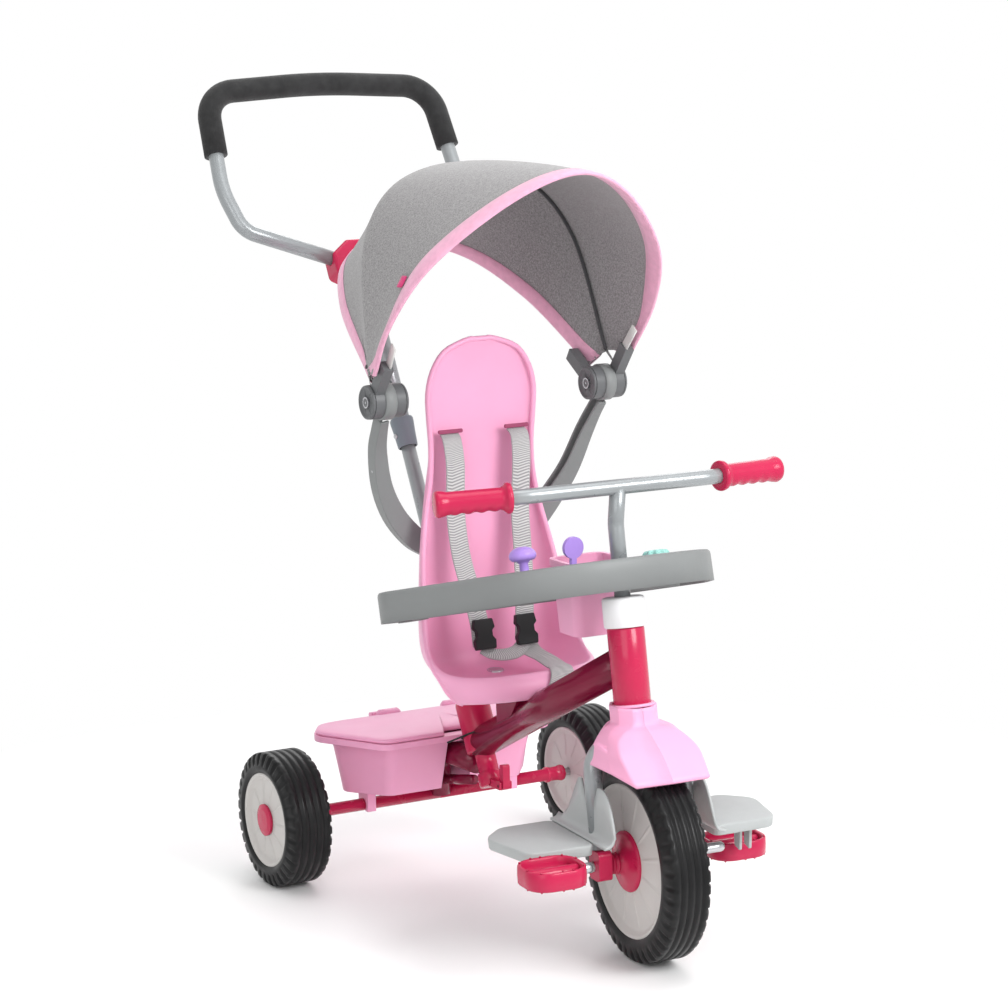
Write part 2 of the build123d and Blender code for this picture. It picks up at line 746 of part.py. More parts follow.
def rear_wheel(side, word):
    centre = Vector(side * rear_track, rear_axle_y, rear_radius)
    grooves = (-15, -5, 5, 15)
    outline = tyre_outline(rear_radius, rear_rim_radius, rear_half_width, 26, grooves)
    keep(spun(outline, centre), f"rear_tyre_{word}")
    half = [(x, r) for x, r in wheel_half(28, rear_rim_radius, rear_axle_radius + running, 26, 12)]
    both = spun(half, centre) + spun([(-x, r) for x, r in half], centre)
    keep(both, f"rear_wheel_{word}")
    cap = [(26, 0), (26, 20.2), (29, 20.2), (31, 14), (31.5, 0)]
    keep(spun([(side * x, r) for x, r in cap], centre), f"hub_cap_{word}")


# ---- storage bin --------------------------------------------------------------------------------
bin_base = [(95, 112), (134, 165), (125, 190)]
bin_top = [(103, 88), (150, 170), (135, 198)]
bin_rim = [(119, 74), (173, 172), (150, 208)]


def bin_sketch(z, half, corner, inset=0.0):
    """Plan outline at height z, mirrored across the middle and drawn in by inset."""
    with BuildSketch(Plane.XY.offset(z)) as sketch:
        Polygon(*half, *[(-x, y) for x, y in reversed(half)], align=None)
        fillet(sketch.vertices(), corner)
        if inset:
            offset(amount=-inset, mode=Mode.REPLACE)
    return sketch.sketch


def bin_loft(low, low_half, high, high_half, corner, inset=0.0):
    return Solid.make_loft([bin_sketch(z, half, corner, inset).face().outer_wire()
                            for z, half in ((low, low_half), (high, high_half))])


def bin_tub():
    """Open tub behind the seat, with a rim, a channel for the rear tube and feet that clip the axle."""
    body = bin_loft(bin_floor_z, bin_base, bin_rim_z, bin_top, 18)
    body += extrude(bin_sketch(bin_rim_z - 8, bin_rim, 24), amount=8)
    channel = block((-20, 20), (60, 172), (90, 171))
    body -= bin_loft(bin_floor_z + wall, bin_base, bin_rim_z + 1, bin_top, 18, wall) \
        - block((-23, 23), (60, 175), (90, 174))
    body -= channel
    for x in (-105, 105):
        foot = block((x - 6, x + 6), (144, 170), (78, bin_floor_z + 1))
        foot -= rod(x - 8, x + 8, rear_axle_y, rear_radius, axle_tube_radius)
        foot -= block((x - 8, x + 8), (151, 163), (70, 84))
        body += foot
    for x in (-70, 58):
        body += block((x, x + 12), (206, bin_hinge_y + 3), (bin_rim_z - 6, bin_hinge_z))
        body += rod(x, x + 12, bin_hinge_y, bin_hinge_z, 3.8)
    for x in (-60, 36):
        body += rod(x, x + 24, bin_hinge_y, bin_hinge_z, 2.0)
    keep(body, "bin_tub")


def bin_lid():
    with BuildPart() as plate:
        with BuildSketch(Plane.XY.offset(bin_rim_z + gap)):
            add(bin_sketch(0, bin_rim, 24, 2))
            with Locations((0, 76)):
                Rectangle(64, 44, mode=Mode.SUBTRACT)
        extrude(amount=4)
    solid = plate.part
    for x in (-57.6, 37.6):
        solid += block((x, x + 20), (200, bin_hinge_y), (bin_rim_z + gap, bin_hinge_z))
        solid += rod(x, x + 20, bin_hinge_y, bin_hinge_z, 3.8)
    solid -= rod(-90, 90, bin_hinge_y, bin_hinge_z, 2.0 + running)
    for x in (-70.4, 57.6):
        solid -= block((x, x + 12.8), (204, 220), (180, 194))
    keep(solid, "bin_lid")


# ---- tray ---------------------------------------------------------------------------------------
tray_outer = [(0, -196), (66, -188), (118, -160), (158, -108), (190, -52), (212, -8), (225, 16), (212, 48),
              (180, 70), (137, 106), (137, 150)]
tray_inner = [(0, -52), (80, -44), (140, -14), (190, 6), (164, 50), (123, 96), (123, 150)]


def tray_sketch(plane, outer, inner):
    """Face between the outer outline and the cut-out for the child."""
    with BuildSketch(plane) as face:
        Polygon(*(mirrored(outer) + mirrored(inner)[::-1]), align=None)
    return face.sketch


def tray():
    """Activity tray that wraps round the child and hooks on the seat's sides."""
    outline = tray_sketch(tray_plane(tray_height), tray_outer, tray_inner)
    with BuildPart() as body:
        add(outline)
        extrude(amount=tray_height, dir=tray_plane().z_dir)
    upper = tray_plane(tray_recess)
    inset = offset(tray_sketch(upper, tray_outer, tray_inner), amount=-4, kind=Kind.INTERSECTION)
    solid = body.part - extrude(inset, amount=tray_recess + 1, dir=tray_plane().z_dir)
    lower = tray_plane(tray_recess + wall)
    inset_low = offset(tray_sketch(lower, tray_outer, tray_inner), amount=-4, kind=Kind.INTERSECTION)
    solid -= extrude(inset_low, amount=tray_height, dir=-tray_plane().z_dir)
    stem_hole = tray_plane(tray_height + 10)
    stem_hole.origin = stem_hole.from_local_coords((0, -158, 0))
    solid -= cylinder_on(stem_hole, 16.0, 60)
    solid -= cup_body(0, 0.0)
    keep(solid, "tray")


def cup_body(inset, floor):
    with BuildPart() as cup:
        for z, x, y in ((367 + floor, 30, 25), (450, 37, 29)):
            with BuildSketch(Plane.XY.offset(z)):
                with Locations((3, -222)):
                    RectangleRounded(2 * (x - inset), 2 * (y - inset), 12 - inset)
        loft()
    return cup.part


def tray_cup():
    with BuildPart() as rim:
        with BuildSketch(Plane.XY.offset(448)):
            with Locations((3, -222)):
                RectangleRounded(80, 64, 15)
                RectangleRounded(68, 52, 9, mode=Mode.SUBTRACT)
        extrude(amount=8)
    keep(cup_body(0, 0) - cup_body(3, 3) + rim.part, "tray_cup")


def toy_knob():
    """Mushroom knob that pushes in."""
    base = tray_plane(tray_recess)
    base.origin = base.from_local_coords((-109, -128, 0))
    with BuildPart() as body:
        with BuildSketch(base.offset(gap)):
            Circle(5.5)
        extrude(amount=28)
        with BuildSketch(base.offset(28)):
            Circle(16)
        extrude(amount=14)
        fillet(body.edges().filter_by(GeomType.CIRCLE).group_by(Axis.Z)[-1], 5.0)
    keep(body.part, "toy_knob")


def toy_mirror():
    with BuildPart() as body:
        with BuildSketch(Plane.XZ.offset(263)):
            with Locations((-43, 480)):
                Circle(13)
            with Locations((-43, 463)):
                Rectangle(7, 14)
        extrude(amount=5)
    solid = body.part + rod(-50, -36, -265.5, 455, 3.5)
    keep(solid, "toy_mirror")


def toy_spinner(x, radius, height, name):
    base = tray_plane(tray_recess)
    base.origin = base.from_local_coords((x, -128, 0))
    with BuildPart() as body:
        with BuildSketch(base.offset(gap)):
            RegularPolygon(radius, 9)
        extrude(amount=height)
    keep(body.part, name)


# ---- build everything -----------------------------------------------------------------------------
main_tube()
head_tube()
head_cap()
handle_socket()
release_lever()
rear_yoke()
axle_tube()
rear_axle()
seat_bracket()
seat_shell()
seat_bolt()
harness()
canopy_arm(1, "canopy_arm_left")
canopy_arm(-1, "canopy_arm_right")
canopy_pins()
bow_arms(front_bow_angle, hub_x + hub_slice / 2 + gap, "front_bow_arms")
bow_arms(rear_bow_angle, hub_x - hub_slice / 2 - gap - hub_slice + 1, "rear_bow_arms")
bow_strip(front_bow_angle, front_bow, -1, "front_bow")
bow_strip(rear_bow_angle, rear_bow, 1, "rear_bow")
canopy_fabric()
lower_post()
upper_post()
post_collar()
handle_pieces()
fork()
fork_ends()
handlebar()
grips()
fender()
foot_bracket(1, "foot_bracket_left")
foot_bracket(-1, "foot_bracket_right")
footrest(1, "footrest_left")
footrest(-1, "footrest_right")
footrest_pins()
crank()
pedal(1, "pedal_left")
pedal(-1, "pedal_right")
front_wheel()
rear_wheel(1, "left")
rear_wheel(-1, "right")
bin_tub()
bin_lid()
tray()
tray_cup()
toy_knob()
toy_mirror()
toy_spinner(70, 15, 14, "toy_spinner_large")
toy_spinner(100, 10, 16, "toy_spinner_small")
print(len(pieces), "pieces")
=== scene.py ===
"""Looks of a toddler's push tricycle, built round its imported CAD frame.

Places are given by at(x, y, z) in millimetres of the design drawing and become metres of the row frame.
The front end is drawn straight ahead and turned to its rest angle by steered().
"""
import json
import math

import bpy
from mathutils import Matrix, Vector


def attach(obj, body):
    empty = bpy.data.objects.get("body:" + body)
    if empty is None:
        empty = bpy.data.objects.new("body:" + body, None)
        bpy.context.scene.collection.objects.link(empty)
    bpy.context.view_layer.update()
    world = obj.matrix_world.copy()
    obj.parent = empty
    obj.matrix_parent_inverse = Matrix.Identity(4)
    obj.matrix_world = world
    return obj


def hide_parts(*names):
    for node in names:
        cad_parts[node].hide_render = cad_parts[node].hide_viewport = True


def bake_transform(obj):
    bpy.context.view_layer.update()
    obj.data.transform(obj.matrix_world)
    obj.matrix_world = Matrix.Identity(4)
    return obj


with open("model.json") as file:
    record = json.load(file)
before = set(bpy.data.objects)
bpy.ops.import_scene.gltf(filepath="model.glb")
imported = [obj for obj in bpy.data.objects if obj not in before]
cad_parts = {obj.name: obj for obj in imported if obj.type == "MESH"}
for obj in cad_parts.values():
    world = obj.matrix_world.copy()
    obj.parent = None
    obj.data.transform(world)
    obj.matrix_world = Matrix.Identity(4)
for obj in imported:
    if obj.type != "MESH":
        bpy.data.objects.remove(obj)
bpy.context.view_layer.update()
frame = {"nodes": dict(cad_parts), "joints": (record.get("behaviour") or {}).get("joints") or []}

# ---- driving values (millimetres of the drawing) --------------------------------------------------
MIDDLE_Y = 4.03               # the row frame's origin, in the drawing
REST_STEER = -5.81            # degrees
TURN_LIFT = 0.31
FRONT_AXLE = (-350.4, 120.0)  # y, z
REAR_AXLE = (157.0, 85.7)
LEVER_PIN = (-18.0, 134.0)
REAR_TRACK = 223.5
PEDAL_X, PEDAL_THROW, CRANK_ANGLE = 152.0, 73.0, 18.0
CANOPY_HUB = (155.0, -11.0, 633.0)
FRONT_BOW = (37.5, [(0, 351), (77, 315), (154, 225), (184, 134), (181, 45)])
MIDDLE_BOW = (-17.0, [(0, 292), (96, 266), (150, 191), (169, 58), (169, 40)])
REAR_BOW = (-57.7, [(0, 313), (85, 279), (133, 182), (152, 60), (152, 35)])
POST = (66.2, 232.0, 27.4)    # y and z of a point on the handle post, and its lean in degrees
TRAY = (-143.0, 427.0, 14.0)  # y and z of the tray's rim at its middle, and its tilt
CRANK_REACH, CRANK_WEB = 183, 101
BAR_END, BAR_MIDDLE = (219, -277.7, 549.4), (112, -299.0, 552.0)
X_AXIS = Vector((1, 0, 0))
SIDES = ((1, "left"), (-1, "right"))
STRAP_UV_WIDTH = 0.03         # metres of texture across a swept section

# ---- camera: azimuth, elevation and roll in degrees, its place in metres and its lens --------------
VIEW_ANGLES = (-29.5155, 9.5595, -0.8761)
VIEW_PLACE = (-1.8245, -3.2552, 1.1193)
LENS = 108.53
FLOOR_HALF = 9


def at(x, y, z):
    """A point of the drawing in the row frame."""
    return Vector((x, y - MIDDLE_Y, z)) / 1000


steer_joint = next(j for j in frame["joints"] if j["name"] == "steering")
steer_point, steer_axis = Vector(steer_joint["pos_m"]), Vector(steer_joint["axis"]).normalized()
STEER = (Matrix.Translation(steer_point + steer_axis * TURN_LIFT / 1000)
         @ Matrix.Rotation(math.radians(REST_STEER), 4, steer_axis) @ Matrix.Translation(-steer_point))


def steered(obj):
    """Turn a front-end piece from straight ahead to its rest angle."""
    obj.data.transform(STEER)
    return obj


# ---- mesh helpers ---------------------------------------------------------------------------------
def new_piece(name, verts, faces, material, uvs=None):
    mesh = bpy.data.meshes.new(name)
    mesh.from_pydata(verts, [], faces)
    if uvs:
        layer = mesh.uv_layers.new(name="UVMap")
        for loop in mesh.loops:
            layer.data[loop.index].uv = uvs[loop.vertex_index]
    mesh.materials.append(material)
    for polygon in mesh.polygons:
        polygon.use_smooth = True
    mesh.update()
    obj = bpy.data.objects.new(name, mesh)
    bpy.context.scene.collection.objects.link(obj)
    return obj


def grid_uvs(rows, columns, width, height, span):
    """UVs of a grid: width over span columns and height over all rows."""
    return [(width * j / span, height * i / (rows - 1)) for i in range(rows) for j in range(columns)]


def grid_faces(rows, columns, closed):
    """Quads between rows of points; closed joins each row's ends."""
    faces = []
    for i in range(rows - 1):
        for j in range(columns if closed else columns - 1):
            k = (j + 1) % columns
            faces.append((i * columns + j, i * columns + k, (i + 1) * columns + k, (i + 1) * columns + j))
    return faces


def surface(name, rows, material, size=(1.0, 1.0)):
    """Sheet through rows of points. UVs run over size in metres."""
    count = len(rows[0])
    faces = grid_faces(len(rows), count, False)
    uvs = grid_uvs(len(rows), count, *size, count - 1)
    return new_piece(name, [p for row in rows for p in row], faces, material, uvs)


def settled(obj):
    """Turn an object's modifiers into mesh."""
    graph = bpy.context.evaluated_depsgraph_get()
    mesh = bpy.data.meshes.new_from_object(obj.evaluated_get(graph))
    obj.modifiers.clear()
    obj.data = mesh
    return obj


def thicken(obj, thickness, levels=0):
    """Give a sheet its wall, and round it if levels is given."""
    solid = obj.modifiers.new("wall", "SOLIDIFY")
    solid.thickness = thickness
    solid.offset = 0.0
    solid.use_even_offset = True
    if levels:
        smooth = obj.modifiers.new("smooth", "SUBSURF")
        smooth.levels = levels
        smooth.render_levels = levels
    settled(obj)
    for polygon in obj.data.polygons:
        polygon.use_smooth = True
    return obj


def join(name, objects):
    """One object out of several."""
    bpy.ops.object.select_all(action="DESELECT")
    for obj in objects:
        obj.select_set(True)
    bpy.context.view_layer.objects.active = objects[0]
    bpy.ops.object.join()
    objects[0].name = name
    return objects[0]


def through(points, steps=8):
    """Smooth line (Catmull-Rom) through points."""
    pts = [points[0] * 2 - points[1]] + list(points) + [points[-1] * 2 - points[-2]]
    line = []
    for i in range(1, len(pts) - 2):
        a, b, c, d = pts[i - 1:i + 3]
        for k in range(steps):
            t = k / steps
            line.append(0.5 * (2 * b + (c - a) * t + (2 * a - 5 * b + 4 * c - d) * t * t
                               + (3 * b - a - 3 * c + d) * t ** 3))
    line.append(pts[-2])
    return line


def sweep(name, path, section, material, side=X_AXIS):
    """Carry section, a list of (across, out) in metres, along path. Across stays near side."""
    loops, total = [], 0.0
    for i, p in enumerate(path):
        run = (path[min(i + 1, len(path) - 1)] - path[max(i - 1, 0)]).normalized()
        across = (side - run * side.dot(run)).normalized()
        out = across.cross(run)
        total += (p - path[max(i - 1, 0)]).length
        loops.append([p + across * a + out * b for a, b in section])
    count = len(section)
    return loft(name, loops, material, uvs=grid_uvs(len(loops), count, STRAP_UV_WIDTH, total, count))


def mirrored(half):
    """Whole line, right to left, from the (x, y) points of its left half, the first on the middle."""
    return [(-x, y) for x, y in half[:0:-1]] + list(half)


def bent(points, radii, steps=10, closed=False):
    """Straight runs joined by arcs; radii is one radius or one for each corner."""
    count = len(points)
    corners = range(count) if closed else range(1, count - 1)
    line = [] if closed else [points[0]]
    for place, i in enumerate(corners):
        a, b, c = points[i - 1], points[i], points[(i + 1) % count]
        radius = radii[place] if isinstance(radii, (list, tuple)) else radii
        u, v = (a - b).normalized(), (c - b).normalized()
        half = u.angle(v) / 2
        reach = min(radius / math.tan(half), 0.48 * (a - b).length, 0.48 * (c - b).length)
        centre = b + (u + v).normalized() * (reach * math.tan(half) / math.sin(half))
        start, end = b + u * reach - centre, b + v * reach - centre
        turn = start.angle(end)
        for k in range(steps + 1):
            t = k / steps
            arm = start * math.sin((1 - t) * turn) + end * math.sin(t * turn)
            line.append(centre + arm / math.sin(turn))
    return line if closed else line + [points[-1]]


def loft(name, sections, material, bevel=0.0, uvs=None):
    """Closed solid through closed loops of equally many points, with flat ends."""
    count = len(sections[0])
    last = (len(sections) - 1) * count
    faces = grid_faces(len(sections), count, True)
    faces += [tuple(range(count - 1, -1, -1)), tuple(range(last, last + count))]
    made = new_piece(name, [p for loop in sections for p in loop], faces, material, uvs)
    if bevel:
        edge = made.modifiers.new("edge", "BEVEL")
        edge.width = bevel
        edge.segments = 3
        edge.limit_method = "ANGLE"
        edge.angle_limit = math.radians(35)
        edge.harden_normals = True
        settled(made)
    return made


def plate(name, outline, origin, x_dir, y_dir, thickness, material, bevel=0.001, corner=0.0):
    """Flat piece: its outline in millimetres along x_dir and y_dir, thickness on along their normal."""
    x_dir, y_dir = Vector(x_dir).normalized(), Vector(y_dir).normalized()
    normal = x_dir.cross(y_dir).normalized()
    flat = [Vector((x, y, 0)) for x, y in outline]
    if corner:
        flat = bent(flat, corner, 5, closed=True)
    loops = [[origin + (x_dir * p.x + y_dir * p.y + normal * w) / 1000 for p in flat] for w in (0, thickness)]
    return loft(name, loops, material, bevel)


def finished(obj, body, slot, *nodes, turned=False):
    """Place a piece on its body and hide the CAD nodes that it stands for; its finish is not used."""
    if turned:
        steered(obj)
    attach(obj, body)
    if nodes:
        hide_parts(*nodes)
    return obj


def pipe(name, points, radius, look, side=X_AXIS, sides=28):
    """Round tube along points."""
    return sweep(name, list(points), ring_section(radius / 1000, sides), look, side=Vector(side))


def ring_section(radius, sides=16):
    return [(radius * math.cos(2 * math.pi * k / sides), radius * math.sin(2 * math.pi * k / sides))
            for k in range(sides)]


def ribbon_section(width, thickness):
    w, t = width / 2, thickness / 2
    return [(-w, -t * 0.4), (-w + t, -t), (w - t, -t), (w, -t * 0.4), (w, t * 0.4), (w - t, t), (-w + t, t),
            (-w, t * 0.4)]


def spun(name, profile, centre, axis, material, steps=96, reach=None):
    """Solid of revolution: profile of (along, radius) in millimetres about axis through centre.
    reach(along, radius, angle) may return a changed (along, radius)."""
    axis = Vector(axis).normalized()
    first = axis.orthogonal().normalized() if abs(axis.x) < 0.9 else Vector((0, 0, 1))
    second = axis.cross(first).normalized()
    first = second.cross(axis).normalized()
    rows = []
    for k in range(steps):
        angle = 2 * math.pi * k / steps
        row = []
        for along, radius in profile:
            a, r = reach(along, radius, angle) if reach else (along, radius)
            out = first * math.cos(angle) + second * math.sin(angle)
            row.append(centre + axis * (a / 1000) + out * (r / 1000))
        rows.append(row)
    count = len(profile)
    verts = [p for row in rows for p in row]
    faces = []
    for i in range(steps):
        nxt = (i + 1) % steps
        for j in range(count - 1):
            faces.append((i * count + j, i * count + j + 1, nxt * count + j + 1, nxt * count + j))
    return new_piece(name, verts, faces, material)


# ---- materials ------------------------------------------------------------------------------------
class Look:
    """A node material with a few short ways to add detail to it."""

    def __init__(self, name, **sockets):
        self.material = bpy.data.materials.new(name)
        self.material.use_nodes = True
        self.tree = self.material.node_tree
        self.shader = self.tree.nodes["Principled BSDF"]
        for socket, value in sockets.items():
            self.shader.inputs[socket.replace("_", " ")].default_value = value

    def node(self, kind, **settings):
        made = self.tree.nodes.new(kind)
        for key, value in settings.items():
            if hasattr(made, key):
                setattr(made, key, value)
            else:
                made.inputs[key].default_value = value
        return made

    def link(self, output, target):
        self.tree.links.new(output, target)

    def place(self, stretch=(1, 1, 1), uv=False):
        coordinates = self.node("ShaderNodeTexCoord")
        mapping = self.node("ShaderNodeMapping", Scale=stretch)
        self.link(coordinates.outputs["UV" if uv else "Object"], mapping.inputs["Vector"])
        return mapping.outputs["Vector"]

    def noise(self, scale, detail=3.0, stretch=(1, 1, 1), uv=False):
        made = self.node("ShaderNodeTexNoise", Scale=scale, Detail=detail)
        self.link(self.place(stretch, uv), made.inputs["Vector"])
        return made.outputs["Fac"]

    def ramp(self, value, low, high, at_low=0.0, at_high=1.0):
        made = self.node("ShaderNodeMapRange")
        for socket, number in (("From Min", low), ("From Max", high), ("To Min", at_low), ("To Max", at_high)):
            made.inputs[socket].default_value = number
        self.link(value, made.inputs["Value"])
        return made.outputs["Result"]

    def colours(self, value, first, second):
        mix = self.node("ShaderNodeMix", data_type="RGBA")
        for socket, colour in ((6, first), (7, second)):
            mix.inputs[socket].default_value = (*colour, 1)
        self.link(value, mix.inputs["Factor"])
        self.link(mix.outputs[2], self.shader.inputs["Base Color"])

    def math(self, operation, first, second=None):
        made = self.node("ShaderNodeMath", operation=operation)
        for index, value in ((0, first), (1, second)):
            if isinstance(value, (int, float)):
                made.inputs[index].default_value = value
            elif value is not None:
                self.link(value, made.inputs[index])
        return made.outputs[0]

    def rough(self, value):
        self.link(value, self.shader.inputs["Roughness"])

    def bump(self, height, distance, strength=1.0, edge=0.0):
        made = self.node("ShaderNodeBump", Distance=distance, Strength=strength)
        self.link(height, made.inputs["Height"])
        if edge:
            rounded = self.node("ShaderNodeBevel", samples=4, Radius=edge)
            self.link(rounded.outputs["Normal"], made.inputs["Normal"])
        self.link(made.outputs["Normal"], self.shader.inputs["Normal"])


def shade(colour, factor):
    return tuple(min(1.0, c * factor) for c in colour)


def plastic(name, colour, rough=0.42, grain=0.00008, edge=0.0012, spread=0.04, **sockets):
    """Moulded plastic: faint flow mottling, fine spark texture and softened edges."""
    look = Look(name, Coat_Weight=0.03, Coat_Roughness=0.3, IOR=1.38, **sockets)
    look.colours(look.ramp(look.noise(9, 3), 0.3, 0.7), shade(colour, 1 - spread), shade(colour, 1 + spread))
    look.rough(look.ramp(look.noise(45, 4), 0.3, 0.7, rough - 0.05, rough + 0.06))
    look.bump(look.noise(1500, 2), grain, 1.0, edge)
    return look.material


def paint(name, colour, rough=0.2, edge=0.0012, flake=0.0):
    """Powder paint with a little orange peel under a clear gloss."""
    look = Look(name, Coat_Weight=0.22, Coat_Roughness=0.08, Metallic=flake, IOR=1.36)
    look.colours(look.ramp(look.noise(14, 3), 0.3, 0.7), shade(colour, 0.93), shade(colour, 1.06))
    look.rough(look.ramp(look.noise(60, 3), 0.3, 0.7, rough - 0.04, rough + 0.07))
    look.bump(look.noise(420, 1), 0.00005, 1.0, edge)
    return look.material


def steel(name):
    """Plated steel with drawn marks along its length."""
    look = Look(name, Metallic=1.0)
    look.colours(look.noise(600, 3, (0.03, 1, 1)), (0.42, 0.42, 0.44), (0.62, 0.62, 0.64))
    look.rough(look.ramp(look.noise(400, 3, (0.03, 1, 1)), 0.3, 0.7, 0.22, 0.4))
    look.bump(look.noise(900, 2, (0.03, 1, 1)), 0.00003, 1.0, 0.0006)
    return look.material


def tyre_rubber(name):
    """Blow-moulded black tyre with scuffs on its tread."""
    look = Look(name, IOR=1.33)
    look.colours(look.ramp(look.noise(30, 5), 0.35, 0.75), (0.004, 0.004, 0.0045), (0.012, 0.012, 0.0125))
    look.rough(look.ramp(look.noise(55, 4), 0.3, 0.7, 0.3, 0.46))
    look.bump(look.noise(900, 3), 0.00012)
    return look.material


def foam_rubber(name):
    """Closed-cell foam sleeve with fine open pores on its skin."""
    look = Look(name, Sheen_Weight=0.15, Sheen_Roughness=0.5)
    look.colours(look.ramp(look.noise(25, 4), 0.3, 0.7), (0.006, 0.006, 0.0065), (0.016, 0.016, 0.017))
    look.rough(look.ramp(look.noise(90, 3), 0.3, 0.7, 0.72, 0.9))
    cells = look.node("ShaderNodeTexVoronoi", Scale=1100)
    look.link(look.place(), cells.inputs["Vector"])
    look.bump(cells.outputs["Distance"], 0.0004, 0.8)
    return look.material


def heather(name, dark, light):
    """Melange canopy cloth: crossed threads of two shades with slubs."""
    look = Look(name, Sheen_Weight=0.25, Sheen_Roughness=0.45)
    warp = look.noise(1700, 2, (1, 0.25, 0.25))
    weft = look.noise(1700, 2, (0.25, 1, 1))
    threads = look.math("MULTIPLY", look.math("ADD", warp, weft), 0.5)
    slubs = look.math("MULTIPLY", look.noise(420, 3, (0.3, 1, 1)), 0.3)
    look.colours(look.ramp(look.math("ADD", threads, slubs), 0.5, 0.86), dark, light)
    look.rough(look.ramp(look.noise(300, 2), 0.3, 0.7, 0.82, 0.95))
    look.bump(threads, 0.0006, 0.8)
    return look.material


def binding_cloth(name, colour):
    """Folded woven tape with fine ribs."""
    look = Look(name, Sheen_Weight=0.3, Sheen_Roughness=0.4)
    ribs = look.node("ShaderNodeTexWave", Scale=260.0, Distortion=1.2)
    look.link(look.place(uv=True), ribs.inputs["Vector"])
    mottle = look.math("MULTIPLY", look.noise(120, 3), 0.7)
    weave = look.math("ADD", mottle, look.math("MULTIPLY", ribs.outputs["Fac"], 0.3))
    look.colours(look.ramp(weave, 0.3, 0.8), shade(colour, 0.86), shade(colour, 1.08))
    look.rough(look.ramp(look.noise(200, 2), 0.3, 0.7, 0.7, 0.88))
    look.bump(ribs.outputs["Fac"], 0.0002, 0.7)
    return look.material


def webbing(name, dark, light):
    """Herringbone webbing: a zigzag worked out from how far along and across the strap a point is."""
    look = Look(name, Sheen_Weight=0.2, Sheen_Roughness=0.4)
    parts = look.node("ShaderNodeSeparateXYZ")
    look.link(look.place(uv=True), parts.inputs[0])
    across = look.math("PINGPONG", look.math("MULTIPLY", parts.outputs[0], 1000), 2.4)
    along = look.math("MULTIPLY", parts.outputs[1], 1000)
    zigzag = look.math("PINGPONG", look.math("ADD", along, across), 1.3)
    look.colours(look.ramp(zigzag, 0.2, 1.1), dark, light)
    look.rough(look.ramp(look.noise(300, 2), 0.3, 0.7, 0.75, 0.92))
    look.bump(zigzag, 0.0005, 0.7)
    return look.material


def floor_paint(name):
    """White sweep: paint near the tricycle that fades into the plain background away from it."""
    look = Look(name)
    look.colours(look.noise(3, 2), (0.93, 0.93, 0.93), (0.95, 0.95, 0.95))
    look.rough(look.ramp(look.noise(5, 2), 0.3, 0.7, 0.5, 0.6))
    apart = look.node("ShaderNodeVectorMath")
    apart.operation = "LENGTH"
    look.link(look.place(), apart.inputs[0])
    fade = look.ramp(apart.outputs["Value"], 0.55, 1.05)
    glow = look.node("ShaderNodeEmission", Strength=1.0)
    glow.inputs["Color"].default_value = (1, 1, 1, 1)
    mix = look.node("ShaderNodeMixShader")
    ends = [n for n in look.material.node_tree.nodes if n.type == "OUTPUT_MATERIAL"][0]
    base = [n for n in look.material.node_tree.nodes if n.type == "BSDF_PRINCIPLED"][0]
    look.link(fade, mix.inputs[0])
    look.link(base.outputs[0], mix.inputs[1])
    look.link(glow.outputs[0], mix.inputs[2])
    look.link(mix.outputs[0], ends.inputs["Surface"])
    return look.material


PINK, RED, WINE = (0.88, 0.40, 0.60), (0.50, 0.014, 0.070), (0.19, 0.004, 0.032)
pink = plastic("pink_plastic", PINK, 0.36, Subsurface_Weight=0.08, Subsurface_Radius=(0.006, 0.003, 0.003))
red_gloss = plastic("red_plastic", RED, 0.22)
red_paint = paint("red_paint", RED, 0.22)
wine_paint = paint("dark_red_paint", WINE, 0.2, flake=0.1)
grey_paint = paint("grey_paint", (0.33, 0.35, 0.36), 0.3, edge=0.0, flake=0.35)
grey = plastic("grey_plastic", (0.22, 0.23, 0.23), 0.45)
pale_grey = plastic("footrest_plastic", (0.45, 0.47, 0.47), 0.45, grain=0.00016)
stippled = plastic("footrest_deck", (0.45, 0.47, 0.47), 0.5, grain=0.0006)
dark_grey = plastic("dark_grey_plastic", (0.13, 0.135, 0.14), 0.4)
blue_grey = plastic("blue_grey_plastic", (0.19, 0.22, 0.25), 0.4)
white = plastic("white_plastic", (0.8, 0.8, 0.81), 0.35)
cream = plastic("cream_plastic", (0.56, 0.54, 0.52), 0.4, grain=0.00012)
slot_dark = plastic("slot_shadow", (0.30, 0.05, 0.12), 0.5)
black = plastic("black_plastic", (0.012, 0.012, 0.013), 0.38)
lilac = plastic("lilac_plastic", (0.42, 0.27, 0.74), 0.3)
mint = plastic("mint_plastic", (0.33, 0.66, 0.60), 0.35)
strip_white = plastic("strip_plastic", (0.62, 0.62, 0.6), 0.4)
bare_steel = steel("bare_steel")
tyre_black = tyre_rubber("tyre")
foam = foam_rubber("foam")
cloth = heather("canopy_cloth", (0.17, 0.163, 0.165), (0.43, 0.42, 0.425))
tape = binding_cloth("binding", (0.90, 0.46, 0.63))
tag_cloth = binding_cloth("tag", (0.75, 0.03, 0.2))
piping = binding_cloth("piping", (0.07, 0.07, 0.075))
straps = webbing("webbing", (0.26, 0.26, 0.265), (0.66, 0.65, 0.65))

# The CAD nodes that stay in view.
cad_looks = {
    wine_paint: ("seat_bracket",),
    red_gloss: ("release_lever", "handle_hub", "hub_button", "fork_ends", "hub_cap_left", "hub_cap_right"),
    bare_steel: ("rear_axle", "seat_bolt", "canopy_pins", "footrest_pins"),
    pink: ("bin_tub", "tray_cup"),
    pale_grey: ("foot_bracket_left", "foot_bracket_right"),
    dark_grey: ("front_bow_arms", "rear_bow_arms"),
    lilac: ("toy_mirror",),
}
for look, names in cad_looks.items():
    for name in names:
        node = frame["nodes"][name]
        node.data.materials.clear()
        node.data.materials.append(look)


